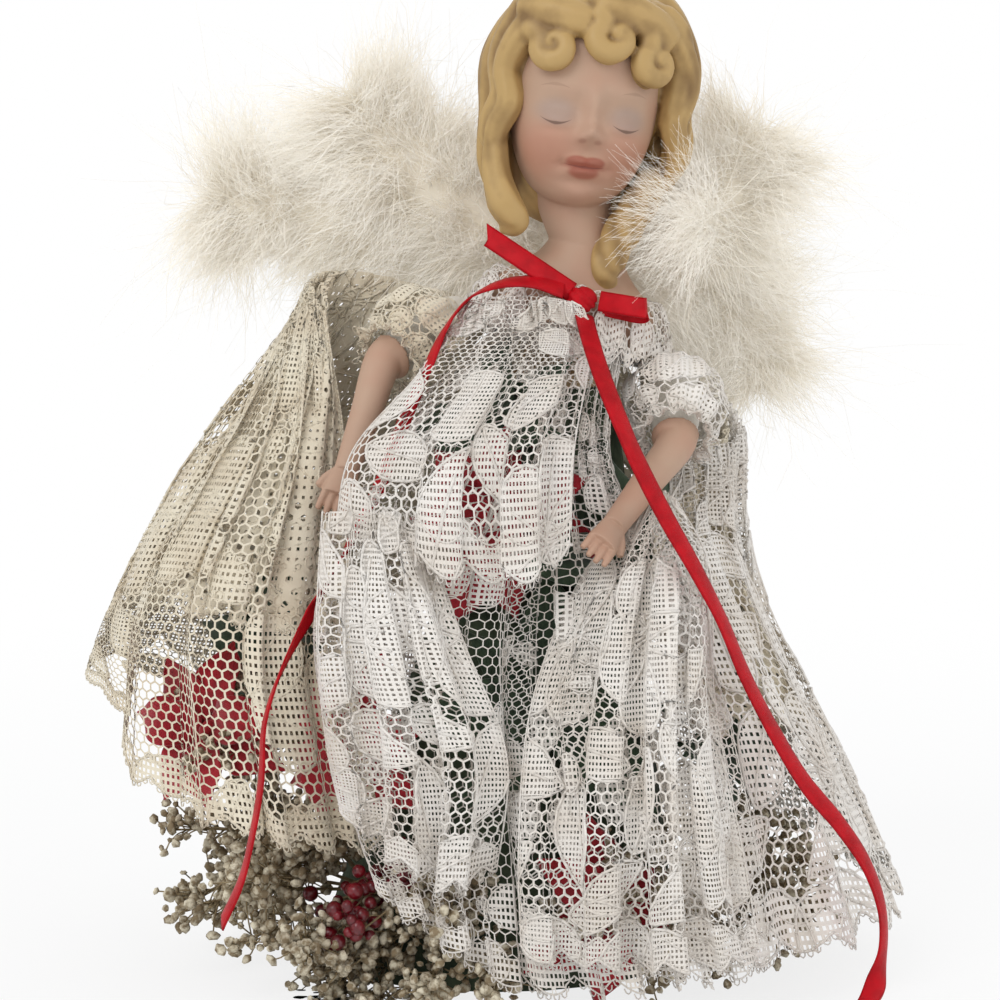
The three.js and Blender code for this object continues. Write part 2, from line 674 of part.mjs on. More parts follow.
function ribbonEnd() {
  const start = knotCentre.clone().add(new THREE.Vector3(-knotSide * 0.82, 0, knotSide * 0.62));
  const end = start.clone().add(cutEndReach);
  const middle = start.clone().lerp(end, 0.5).addScaledVector(frontFacing, ribbonBow);
  return band([start, middle, end], [frontFacing, frontFacing, frontFacing], ribbonWidth, ribbonThickness, 6);
}

function ribbonLoop() {
  const front = knotCentre.clone().add(new THREE.Vector3(knotSide, -ribbonThickness, -ribbonThickness / 2));
  const foldAcross = new THREE.Vector3(0, loopFold, 0);
  const back = front.clone().add(foldAcross);
  const route = [
    front,
    front.clone().addScaledVector(loopReach, 0.5).addScaledVector(frontFacing, 1.6 * ribbonBow),
    front.clone().addScaledVector(loopReach, 0.94).addScaledVector(frontFacing, 0.6 * ribbonBow),
    front.clone().add(loopReach).addScaledVector(foldAcross, 0.5),
    back.clone().addScaledVector(loopReach, 0.94).addScaledVector(frontFacing, -0.6 * ribbonBow),
    back.clone().addScaledVector(loopReach, 0.5).addScaledVector(frontFacing, -0.8 * ribbonBow),
    back,
  ];
  const facings = [
    new THREE.Vector3(0, -1, 0), new THREE.Vector3(0, -1, 0), new THREE.Vector3(0.5, -0.8, 0),
    new THREE.Vector3(1, 0, 0), new THREE.Vector3(0.5, 0.8, 0), new THREE.Vector3(0, 1, 0),
    new THREE.Vector3(0, 1, 0),
  ];
  return band(route, facings, ribbonWidth * 0.94, ribbonThickness, 14);
}

// Tails: routes chosen by hand, each from the knot down the skirt
const leftTailRoute = [
  [14.4, -12.8, 109.4], [15.3, -18, 106], [16.8, -25.4, 101], [19.5, -33, 93.8], [22.7, -38.2, 86.4],
  [26.8, -39.8, 78.4], [31.6, -40, 70], [35.8, -39, 62], [39.6, -39.6, 53], [44, -42, 44.5],
  [48.8, -43.2, 36.6], [54.6, -43, 29.6], [59, -42, 22.8], [61.4, -42, 15.5], [61, -44.5, 8.4],
  [58, -49, 2.8], [52.4, -54.6, 0.8], [45.6, -58.6, 0.6],
];
const rightTailRoute = [
  [11, -13.4, 113.6], [6.6, -14.4, 115], [1, -14.6, 114.8], [-4.4, -15.8, 112.4], [-8.6, -18.2, 107.4],
  [-11.6, -20.4, 100.8], [-15.2, -24.4, 92.6], [-18.8, -29, 83], [-24, -36.6, 73], [-29.4, -42, 63.5],
  [-33.6, -46.4, 55.4], [-36.2, -51, 47.4], [-36.6, -54.2, 38.6], [-37.6, -56, 30], [-39.4, -56.6, 21.4],
  [-42.8, -57, 14.4],
];

function ribbonTail(route, steps) {
  const points = route.map((point) => new THREE.Vector3(...point));
  const facings = points.map((point) => {
    const upright = THREE.MathUtils.smoothstep(point.z, ribbonWidth / 2, 3 * ribbonWidth);
    return new THREE.Vector3(point.x - coneLean, point.y, 0).setLength(upright)
      .add(new THREE.Vector3(0, 0, 1 - upright));
  });
  return band(points, facings, ribbonWidth, ribbonThickness, steps);
}

// Flowers and leaves stand on the cone's wall: local +Z points out of the wall at the seat
function onCone(azimuth, height) {
  const angle = THREE.MathUtils.degToRad(azimuth);
  const slope = Math.atan2(coneBaseRadius - coneTopRadius, coneHeight);
  const flat = new THREE.Vector3(Math.sin(angle), -Math.cos(angle), 0);
  const outward = flat.clone().multiplyScalar(Math.cos(slope)).add(new THREE.Vector3(0, 0, Math.sin(slope)));
  const around = new THREE.Vector3(Math.cos(angle), Math.sin(angle), 0);
  const up = new THREE.Vector3().crossVectors(outward, around);
  const seat = flat.multiplyScalar(coneRadiusAt(height)).add(new THREE.Vector3(
    (coneLean * height) / coneHeight, 0, height,
  ));
  seat.addScaledVector(outward, seatGap);
  return new THREE.Matrix4().makeBasis(around, up, outward).setPosition(seat);
}

// A petal or leaf: a thin blade from the centre outwards, its tip bent up or down
function blade(length, halfWidth, thickness, lift, droop) {
  const root = new THREE.Vector3(0, 0, 0);
  const middle = new THREE.Vector3(0, length * 0.5, lift);
  const tip = new THREE.Vector3(0, length, lift - droop);
  const width = (t) => halfWidth * Math.sin(Math.PI * Math.min(0.985, 0.1 + 0.9 * t)) ** 0.8;
  const half = (t) => (thickness / 2) * (1 - 0.5 * t);
  const rib = new THREE.CatmullRomCurve3([root, middle, tip]);
  return loftAlong(rib, 3, 4, new THREE.Vector3(1, 0, 0), width, half);
}

function flower(stemLength, petals, size) {
  const shapes = [roundRod(new THREE.Vector3(0, 0, 0), new THREE.Vector3(0, 0, stemLength), stemRadius, 6)];
  shapes.push(new THREE.SphereGeometry(stemRadius * 2.6, 6, 5).translate(0, 0, stemLength));
  for (let k = 0; k < petals; k += 1) {
    const turn = (k / petals) * full + (k % 2) * 0.2;
    const row = k % 2;
    const length = petalLength * size * (1 - 0.12 * row);
    const petal = blade(length, petalHalfWidth * size, petalThickness, petalLift * (1 + 2 * row), petalDroop);
    petal.translate(0, stemRadius * 1.6, stemLength + petalThickness * (row - 0.5)).rotateZ(turn);
    shapes.push(petal);
  }
  return join(shapes);
}

function leafSpray(stemLength, leaves, size) {
  const shapes = [roundRod(new THREE.Vector3(0, 0, 0), new THREE.Vector3(0, 0, stemLength), stemRadius, 6)];
  for (let k = 0; k < leaves; k += 1) {
    const turn = ((k + 0.5) / leaves - 0.5) * Math.PI * 1.5;
    const leaf = blade(leafLength * size, leafHalfWidth * size, petalThickness, leafLift, leafDroop);
    shapes.push(leaf.rotateZ(turn).translate(0, 0, stemLength - stemRadius));
  }
  return join(shapes);
}

// Dried spray: stems that fan out of one seat by the golden angle, each with a tip and side buds
function drySpray(count, reach, spread, tipRadius, sides) {
  const golden = Math.PI * (3 - Math.sqrt(5));
  const clump = stemRadius * 2.4;
  const shapes = [new THREE.SphereGeometry(clump, 8, 5).translate(0, 0, clump)];
  for (let k = 0; k < count; k += 1) {
    const share = Math.sqrt((k + 0.5) / count);
    const tilt = spread * share;
    const turn = k * golden;
    const flat = new THREE.Vector3(Math.cos(turn), Math.sin(turn), 0);
    const base = flat.clone().multiplyScalar(clump * 0.7 * share).setZ(clump);
    const length = reach * (0.76 + 0.24 * Math.cos(3.7 * k));
    const tip = flat.clone().multiplyScalar(Math.sin(tilt) * length).setZ(clump + Math.cos(tilt) * length);
    shapes.push(roundRod(base, tip, stemRadius * 0.55, 3));
    shapes.push(ball(tip, tipRadius, sides));
    const bud = tip.clone().lerp(base, 0.3);
    bud.x -= flat.y * tipRadius * 0.6;
    bud.y += flat.x * tipRadius * 0.6;
    shapes.push(ball(bud, tipRadius * 0.9, 4));
  }
  return join(shapes);
}

// Assembly
const ornament = new THREE.Group();

function add(name, geometry, color, roughness, metalness = 0) {
  const material = new THREE.MeshStandardMaterial({ color, roughness, metalness, side: THREE.DoubleSide });
  const mesh = new THREE.Mesh(geometry, material);
  mesh.name = name;
  ornament.add(mesh);
  return mesh;
}

const colours = {
  card: '#c9b48f', wood: '#d8c29a', steel: '#9a9da1', bisque: '#dcb9a5', padding: '#e9e2d2', lace: '#f4f0e6',
  cream: '#efe6cd', feather: '#f1e9d8', satin: '#d3121f', petal: '#b3122a', leaf: '#26402b', bud: '#c9b894',
  berry: '#8f0f22',
};

add('core_cone', coreCone(), colours.card, 0.85);
add('top_plug', topPlug(), colours.wood, 0.7);
add('arm_wire', wireRod(wireRadius, wireHalfSpan), colours.steel, 0.35, 1);
add('head_casting', headCasting(), colours.bisque, 0.45);
add('collar', collar(), colours.lace, 0.9);

const panels = [
  { name: 'front_panel_right', shares: frontRightShares, folds: 4, grid: [20, 9] },
  { name: 'front_panel_left', shares: frontLeftShares, folds: 4, grid: [20, 9] },
  { name: 'cape_panel_right', shares: capeShares, folds: 6, grid: [23, 9], open: true, cream: true },
  { name: 'side_panel_left', shares: sideShares, folds: 6, grid: [23, 9], open: true },
  { name: 'back_panel', shares: backShares, folds: 5, grid: [18, 7] },
];
for (const { name, shares, folds, grid, open, cream } of panels) {
  const depth = name.startsWith('front') ? frontFoldDepth : bellFoldDepth;
  add(name, lacePanel(shares, folds, depth, ...grid, open), cream ? colours.cream : colours.lace, 0.9);
}

// Elbows and wrists lie over the skirt, so they are shares of its half width, half depth and height
const armSides = [
  { name: 'right', sign: -1, elbowAt: [-0.257, -0.172, 0.891], wristAt: [-0.362, -0.371, 0.73], thumb: 1 },
  { name: 'left', sign: 1, elbowAt: [0.434, -0.241, 0.778], wristAt: [0.274, -0.56, 0.661], thumb: -1 },
];
for (const { name, sign, elbowAt, wristAt, thumb } of armSides) {
  const elbow = guidePoint(elbowAt);
  const wrist = guidePoint(wristAt);
  add(`${name}_upper_arm`, upperArm(sign, elbow), colours.padding, 0.95);
  add(`${name}_forearm`, forearm(sign, elbow, wrist, frontFacing, thumb), colours.bisque, 0.45);
  add(`${name}_sleeve`, sleeve(sign, elbow), colours.lace, 0.9);
}

const napeDepth = collarHalfWidth * plateDepthShare + collarTube * 1.3;
const nape = new THREE.Vector3(0, napeDepth, plateLift + collarRise);
nape.y += seatGap + plumeQuillRadius;
nape.applyMatrix4(torsoMatrix);
const plumeShares = [
  { name: 'right_wing_upper_plume', bend: [-0.36, 0, 0.29], tip: [-0.57, 0, 0.5], width: 0.19 },
  { name: 'right_wing_outer_plume', bend: [-0.55, 0.086, 0.2], tip: [-0.95, 0.086, 0.24], width: 0.22 },
  { name: 'left_wing_upper_plume', bend: [0.36, -0.014, 0.22], tip: [0.58, -0.014, 0.5], width: 0.19 },
  { name: 'left_wing_lower_plume', bend: [0.42, 0.067, 0.0], tip: [0.53, 0.067, -0.26], width: 0.18 },
];
const plumeRoots = [
  [-0.06, 0.012, 0.036], [-0.045, 0.086, 0.045], [0.045, -0.014, 0.03], [0.045, 0.067, 0.015],
];
plumeShares.forEach(({ name, bend, tip, width }, k) => {
  const place = (share) => new THREE.Vector3(...share).multiplyScalar(wingReach).add(nape);
  const shape = plume(place(plumeRoots[k]), place(bend), place(tip), width * wingReach, 3);
  add(name, shape, colours.feather, 0.95);
});

add('ribbon_knot', ribbonKnot(), colours.satin, 0.35);
add('ribbon_cut_end', ribbonEnd(), colours.satin, 0.35);
add('ribbon_loop', ribbonLoop(), colours.satin, 0.35);
add('ribbon_left_tail', ribbonTail(leftTailRoute, 21), colours.satin, 0.35);
add('ribbon_right_tail', ribbonTail(rightTailRoute, 19), colours.satin, 0.35);

// How far the skirt's edge lies from the middle, at an azimuth
function skirtReach(azimuth) {
  const angle = THREE.MathUtils.degToRad(azimuth);
  return Math.hypot(skirtHalfWidth * Math.sin(angle), skirtHalfDepth * Math.cos(angle));
}

// Heights are shares of the cone's height; stems are shares of the way from the cone to the skirt's edge
function stemLength({ azimuth, height }, share) {
  return share * (skirtReach(azimuth) - coneRadiusAt(height * coneHeight));
}

const flowerShares = [
  { name: 'red_flower_right', azimuth: -52, height: 0.371, stem: 0.286, petals: 6, size: 0.9 },
  { name: 'red_flower_upper', azimuth: -24, height: 0.691, stem: 0.091, petals: 5, size: 0.72 },
  { name: 'red_flower_front', azimuth: 24, height: 0.175, stem: 0.308, petals: 6, size: 0.8 },
  { name: 'red_flower_back', azimuth: 176, height: 0.35, stem: 0.342, petals: 6, size: 0.9 },
];
for (const entry of flowerShares) {
  const shape = flower(stemLength(entry, entry.stem), entry.petals, entry.size);
  add(entry.name, shape.applyMatrix4(onCone(entry.azimuth, entry.height * coneHeight)), colours.petal, 0.8);
}

const sprayShares = [
  { name: 'leaf_spray_upper_right', azimuth: -42, height: 0.918, stem: 0.0385, size: 0.5 },
  { name: 'leaf_spray_upper_left', azimuth: 34, height: 0.701, stem: 0.0875, size: 0.6 },
  { name: 'leaf_spray_middle', azimuth: 8, height: 0.454, stem: 0.134, size: 0.8 },
  { name: 'leaf_spray_left', azimuth: 64, height: 0.371, stem: 0.3, size: 0.9 },
  { name: 'leaf_spray_right', azimuth: -100, height: 0.474, stem: 0.297, size: 0.9 },
];
for (const entry of sprayShares) {
  const shape = leafSpray(stemLength(entry, entry.stem), 3, entry.size);
  add(entry.name, shape.applyMatrix4(onCone(entry.azimuth, entry.height * coneHeight)), colours.leaf, 0.8);
}

const bunchShares = [
  { name: 'babys_breath_front', azimuth: -52, height: 0.144, count: 7, reach: 0.792, spread: 0.62 },
  { name: 'babys_breath_right', azimuth: -86, height: 0.165, count: 6, reach: 0.714, spread: 0.62 },
  { name: 'babys_breath_left', azimuth: 62, height: 0.144, count: 6, reach: 0.654, spread: 0.6 },
  { name: 'babys_breath_back', azimuth: 150, height: 0.144, count: 6, reach: 0.672, spread: 0.6 },
];
for (const entry of bunchShares) {
  const shape = drySpray(entry.count, stemLength(entry, entry.reach), entry.spread, budRadius, 5);
  add(entry.name, shape.applyMatrix4(onCone(entry.azimuth, entry.height * coneHeight)), colours.bud, 0.95);
}
const berryPlace = { azimuth: -24, height: 0.186 };
const berries = drySpray(7, stemLength(berryPlace, 0.578), 0.4, berryRadius, 5);
berries.applyMatrix4(onCone(berryPlace.azimuth, berryPlace.height * coneHeight));
add('berry_bunch', berries, colours.berry, 0.3);

export default ornament;
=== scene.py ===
"""Angel ornament: bisque head and hands, marabou wings and a lace dress over a flowered card cone.

Shapes are worked out in millimetres, +Z up, with the front facing -Y, and become metres when a mesh is
made. Right and left are the angel's own, so its right is at -X.
"""

from __future__ import annotations

import logging
import math
from dataclasses import dataclass, field, replace
from enum import Enum
from math import atan2, hypot, radians
from typing import Callable, ClassVar

import bpy
import numpy as np
from numpy import (
    arange, array, broadcast_to, clip, concatenate, cos, cross, cumsum, diff, exp, gradient, interp, linspace,
    maximum, meshgrid, minimum, sign, sin, sqrt, stack, zeros,
)
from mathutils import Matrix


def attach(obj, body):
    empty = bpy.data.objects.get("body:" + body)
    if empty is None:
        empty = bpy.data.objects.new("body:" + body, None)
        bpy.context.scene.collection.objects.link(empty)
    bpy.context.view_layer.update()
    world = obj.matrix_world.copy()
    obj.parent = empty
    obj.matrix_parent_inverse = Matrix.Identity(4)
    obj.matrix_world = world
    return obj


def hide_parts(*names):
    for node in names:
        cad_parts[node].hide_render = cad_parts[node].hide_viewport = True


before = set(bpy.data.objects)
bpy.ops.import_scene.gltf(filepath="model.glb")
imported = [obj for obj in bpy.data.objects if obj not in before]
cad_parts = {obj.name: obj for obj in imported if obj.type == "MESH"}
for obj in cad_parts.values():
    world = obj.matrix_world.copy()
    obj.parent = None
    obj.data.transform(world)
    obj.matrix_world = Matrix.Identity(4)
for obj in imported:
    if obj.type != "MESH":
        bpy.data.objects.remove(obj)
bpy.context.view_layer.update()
LOG = logging.getLogger("angel ornament")
MM = 0.001
FULL = 2 * np.pi
PADDED_SIDES = 26
Array = np.ndarray
Thing = bpy.types.Object
Triple = tuple[float, float, float]
UP = array([0, 0, 1.0])
BACKWARD = array([0, 1.0, 0])
FRONT = -BACKWARD


class Body(str, Enum):
    """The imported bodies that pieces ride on."""

    FIGURE = "figure"
    RIGHT_ARM = "right_arm"
    LEFT_ARM = "left_arm"


class Slot(str, Enum):
    """The record's material slots."""

    BISQUE = "bisque"
    LACE_WHITE = "lace_white"
    LACE_CREAM = "lace_cream"
    PADDING = "padding"
    FEATHER = "feather"
    SATIN = "satin"
    PETAL = "petal_silk"
    LEAF = "leaf_fabric"
    BUDS = "dried_buds"
    BERRIES = "berries"


# Array helpers


def shares(count: int) -> Array:
    """Even steps from 0 to 1."""
    return linspace(0, 1, count)


def grid(*counts: int) -> list[Array]:
    """Indices of every cell of a grid, one array for each direction."""
    return meshgrid(*map(arange, counts), indexing="ij")


def circle(count: int) -> Array:
    """Angles at even steps round a full turn."""
    return linspace(0, FULL, count, endpoint=False)


def globe(columns: int, rows: int, margin: float) -> tuple[Array, Array, Array]:
    """Angles round and down a sphere, short of its poles by a margin, and its rays from foot to crown."""
    around, down = meshgrid(circle(columns), linspace(margin, np.pi - margin, rows))
    ray = stack([sin(down) * cos(around), sin(down) * sin(around), -cos(down)], axis=-1)
    return around, down, ray


def unit(vectors: Array) -> Array:
    """Vectors of length one along the last axis."""
    return vectors / maximum(np.linalg.norm(vectors, axis=-1, keepdims=True), 1e-9)


def squared(facings: Array, along: Array) -> Array:
    """Facings made square to the run, of length one."""
    return unit(facings - np.sum(facings * along, axis=-1, keepdims=True) * along)


def smooth(low: float, high: float, value: Array) -> Array:
    """Soft step from 0 at low to 1 at high: 3s squared minus 2s cubed of the clamped share s."""
    share = clip((value - low) / (high - low), 0, 1)
    return share * share * (3 - 2 * share)


def follow(points: Array, places: Array, even: bool = False) -> Array:
    """Catmull-Rom curve through points, by knots spaced evenly or by the root of each chord.

    Args:
        points: (K, 3) for one curve, or (K, N, 3) for a curve of its own for each place.
        places: (N,) places from 0 to 1 along the curve.
        even: Whether the knots are spaced evenly.

    Returns:
        (N, 3) points: each is a cubic whose end slopes come from its neighbours' differences.
    """
    last = len(points) - 1
    ends = concatenate([2 * points[:1] - points[1:2], points, 2 * points[-1:] - points[-2:-1]])
    spot = clip(places, 0, 1) * last
    index = minimum(np.floor(spot).astype(int), last - 1)
    s = (spot - index)[:, None]
    column = (arange(len(places)),) if points.ndim == 3 else ()
    a, b, c, d = (ends[(index + k, *column)] for k in range(4))
    if even:
        before = between = after = np.ones_like(s)
    else:
        root = lambda p, q: maximum(sqrt(np.linalg.norm(q - p, axis=1, keepdims=True)), 1e-3)
        before, between, after = root(a, b), root(b, c), root(c, d)
    leave = ((b - a) / before - (c - a) / (before + between) + (c - b) / between) * between
    arrive = ((c - b) / between - (d - b) / (between + after) + (d - c) / after) * between
    return b + leave * s + (3 * (c - b) - 2 * leave - arrive) * s**2 + (2 * (b - c) + leave + arrive) * s**3


def turned(points: Array, degrees: float) -> Array:
    """Points turned about +Y, which drops +X for a positive angle."""
    c, s = math.cos(radians(degrees)), math.sin(radians(degrees))
    return points @ array([[c, 0, -s], [0, 1, 0], [s, 0, c]])


@dataclass
class Shape:
    """Points in millimetres with four-sided and three-sided faces and values kept at the points."""

    points: Array
    quads: Array = field(default_factory=lambda: zeros((0, 4), int))
    triangles: Array = field(default_factory=lambda: zeros((0, 3), int))
    tone: Array | None = None
    chart: Array | None = None

    def tones(self) -> Array:
        """The value at each point, 0 where none was given."""
        return zeros(len(self.points)) if self.tone is None else self.tone

    def charts(self) -> Array:
        """The pattern's own two coordinates at each point, 0 where none were given."""
        return zeros((len(self.points), 2)) if self.chart is None else self.chart

    def moved(self, points: Array) -> Shape:
        """The same faces and values on other points."""
        return Shape(points, self.quads, self.triangles, self.tones(), self.charts())


def joined(shapes: list[Shape]) -> Shape:
    """All the shapes as one, with the faces renumbered."""
    starts = cumsum([0] + [len(s.points) for s in shapes])
    return Shape(
        concatenate([s.points for s in shapes]),
        concatenate([s.quads + k for s, k in zip(shapes, starts)]),
        concatenate([s.triangles + k for s, k in zip(shapes, starts)]),
        concatenate([s.tones() for s in shapes]),
        concatenate([s.charts() for s in shapes]),
    )


def skin(rings: Array, round_section: bool = True, tone: Array | None = None) -> Shape:
    """Surface over rows of points: each cell of the grid is one face.

    Args:
        rings: (rows, columns, 3) points.
        round_section: Whether the last column meets the first and fans close the first and last rows.
        tone: (rows, columns) values to keep at the points.

    Returns:
        The shape, with its chart as shares across and along.
    """
    rows, columns, _ = rings.shape
    row, column = grid(rows - 1, columns - (not round_section))
    a = row * columns + column
    b = row * columns + (column + 1) % columns
    quads = stack([a, b, b + columns, a + columns], axis=-1).reshape(-1, 4)
    points = rings.reshape(-1, 3)
    tones = zeros(rows * columns) if tone is None else np.asarray(tone, float).reshape(-1)
    across, along = meshgrid(shares(columns), shares(rows))
    chart = stack([across, along], axis=-1).reshape(-1, 2)
    triangles = zeros((0, 3), int)
    if round_section:
        here = arange(columns)
        after = (here + 1) % columns
        low, high = len(points), len(points) + 1
        top = (rows - 1) * columns
        triangles = concatenate([
            stack([np.full(columns, low), after, here], axis=1),
            stack([np.full(columns, high), top + here, top + after], axis=1),
        ])
        points = concatenate([points, rings[0].mean(0)[None], rings[-1].mean(0)[None]])
        tones = concatenate([tones, [tones[0], tones[-1]]])
        chart = concatenate([chart, [[0.5, 0], [0.5, 1]]])
    return Shape(points, quads, triangles, tones, chart)


def tubes(paths: Array, radii: Array, sides: int, facing: Array, flat: float = 1) -> Shape:
    """Many tubes at once: a ring of sides points about each point of each path, across its run.

    Args:
        paths: (N, K, 3) points.
        radii: Radius, as a number or (N, K).
        sides: Number of sides; the first corner points along facing.
        facing: (N, K, 3) or (3,) direction that the section's first corner faces.
        flat: Share of the radius that the section has along facing.

    Returns:
        The closed tubes as one shape.
    """
    count, steps, _ = paths.shape
    along = unit(gradient(paths, axis=1))
    up = squared(broadcast_to(facing, paths.shape), along)
    side = cross(along, up)
    angle = arange(sides) / sides * FULL
    size = broadcast_to(radii, (count, steps))[:, :, None, None]
    rings = paths[:, :, None] + size * (
        flat * cos(angle)[None, None, :, None] * up[:, :, None]
        + sin(angle)[None, None, :, None] * side[:, :, None]
    )
    which, row, column = grid(count, steps - 1, sides)
    a = (which * steps + row) * sides + column
    b = (which * steps + row) * sides + (column + 1) % sides
    quads = stack([a, b, b + sides, a + sides], axis=-1).reshape(-1, 4)
    first = (arange(count) * steps * sides)[:, None]
    last = first + (steps - 1) * sides
    fans = [array([[0, k + 1, k]]) for k in range(1, sides - 1)]
    caps = concatenate([first + fan for fan in fans] + [last + fan[:, [0, 2, 1]] for fan in fans])
    return Shape(rings.reshape(-1, 3), quads, caps)


def blades(paths: Array, widths: Array, facing: Array) -> Shape:
    """Many flat strands at once: two points across each point of each path, in a shallow fold.

    Args:
        paths: (N, K, 3) points.
        widths: (N, K) widths.
        facing: (N, 3) direction that each strand's flat side faces.

    Returns:
        The strands as one shape, with the share of the way from root to tip as tone.
    """
    count, steps, _ = paths.shape
    along = unit(gradient(paths, axis=1))
    side = unit(cross(broadcast_to(facing[:, None], paths.shape), along))
    half = widths[:, :, None] / 2
    points = stack([paths - side * half, paths + side * half], axis=2).reshape(-1, 3)
    which, row = grid(count, steps - 1)
    a = (which * steps + row) * 2
    quads = stack([a, a + 1, a + 3, a + 2], axis=-1).reshape(-1, 4)
    tone = broadcast_to(shares(steps)[None, :, None], (count, steps, 2)).reshape(-1)
    return Shape(points, quads, tone=tone)


def linked(name: str, data: bpy.types.ID) -> Thing:
    """A new object on the data, put in the scene."""
    thing = bpy.data.objects.new(name, data)
    bpy.context.scene.collection.objects.link(thing)
    return thing


def make_object(name: str, shape: Shape, finish: Finish) -> Thing:
    """Mesh object of a shape, with its tone and chart, dressed in a finish; its name takes underscores."""
    name = name.replace(" ", "_").replace("'", "")
    mesh = bpy.data.meshes.new(name)
    loops = concatenate([shape.quads.reshape(-1), shape.triangles.reshape(-1)]).astype(np.int32)
    totals = concatenate([np.full(len(shape.quads), 4), np.full(len(shape.triangles), 3)]).astype(np.int32)
    mesh.vertices.add(len(shape.points))
    mesh.vertices.foreach_set("co", (shape.points * MM).astype(np.float32).reshape(-1))
    mesh.loops.add(len(loops))
    mesh.loops.foreach_set("vertex_index", loops)
    mesh.polygons.add(len(totals))
    mesh.polygons.foreach_set("loop_start", concatenate([[0], cumsum(totals)[:-1]]).astype(np.int32))
    mesh.polygons.foreach_set("loop_total", totals)
    mesh.update(calc_edges=True)
    mesh.polygons.foreach_set("use_smooth", np.ones(len(totals), bool))
    mesh.attributes.new("tone", "FLOAT", "POINT").data.foreach_set("value", shape.tones().astype(np.float32))
    if shape.chart is not None:
        layer = mesh.uv_layers.new(name="chart")
        layer.data.foreach_set("uv", shape.chart[loops].astype(np.float32).reshape(-1))
    mesh.materials.append(finish.material())
    mesh.update()
    return linked(name, mesh)


def settle(piece: Thing, node: str, body: Body = Body.FIGURE) -> None:
    """Puts a finished piece on its body and hides the node that it stands for."""
    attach(piece, body.value)
    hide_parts(node)
    LOG.info("%s: %d faces on %s", piece.name, len(piece.data.polygons), body.value)


def evaluated(piece: Thing) -> bpy.types.Mesh:
    """Applies the piece's modifiers to its mesh and returns the mesh."""
    graph = bpy.context.evaluated_depsgraph_get()
    fresh = bpy.data.meshes.new_from_object(piece.evaluated_get(graph))
    old = piece.data
    piece.modifiers.clear()
    piece.data = fresh
    bpy.data.meshes.remove(old)
    return fresh


# Shader maths


def math_method(kind: str, swapped: bool = False) -> Callable[..., Value]:
    """Makes a method of Value that adds one Math node; swapped puts the other number first."""

    def method(value: Value, other: Value | float | None = None) -> Value:
        """One Math node on one or two numbers."""
        pair = [value] if other is None else [other, value] if swapped else [value, other]
        return value.graph.add("Math", {"operation": kind}, dict(enumerate(pair)))[0]

    return method


class Value:
    """A number in a shader; operators add Math nodes."""

    __add__ = __radd__ = math_method("ADD")
    __sub__, __rsub__ = math_method("SUBTRACT"), math_method("SUBTRACT", swapped=True)
    __mul__ = __rmul__ = math_method("MULTIPLY")
    __truediv__, __pow__ = math_method("DIVIDE"), math_method("POWER")
    __abs__, sine = math_method("ABSOLUTE"), math_method("SINE")
    most, least = math_method("MAXIMUM"), math_method("MINIMUM")

    def __init__(self, graph: Graph, socket: bpy.types.NodeSocket) -> None:
        """Keeps the graph and the socket."""
        self.graph = graph
        self.socket = socket

    def __neg__(self) -> Value:
        """Opposite."""
        return self * -1

    def ramp(self, low: float, high: float) -> Value:
        """Soft step: 0 at low, 1 at high, clamped."""
        settings = {"interpolation_type": "SMOOTHSTEP"}
        limits = {"From Min": low, "From Max": high, "To Min": 0, "To Max": 1}
        return self.graph.add("MapRange", settings, {"Value": self, **limits})["Result"]


class Outlets:
    """The outputs of one node, by name or number."""

    def __init__(self, graph: Graph, node: bpy.types.Node) -> None:
        """Keeps the graph and the node."""
        self.graph = graph
        self.node = node

    def __getitem__(self, name: str | int) -> Value:
        """The output as a value."""
        return Value(self.graph, self.node.outputs[name])


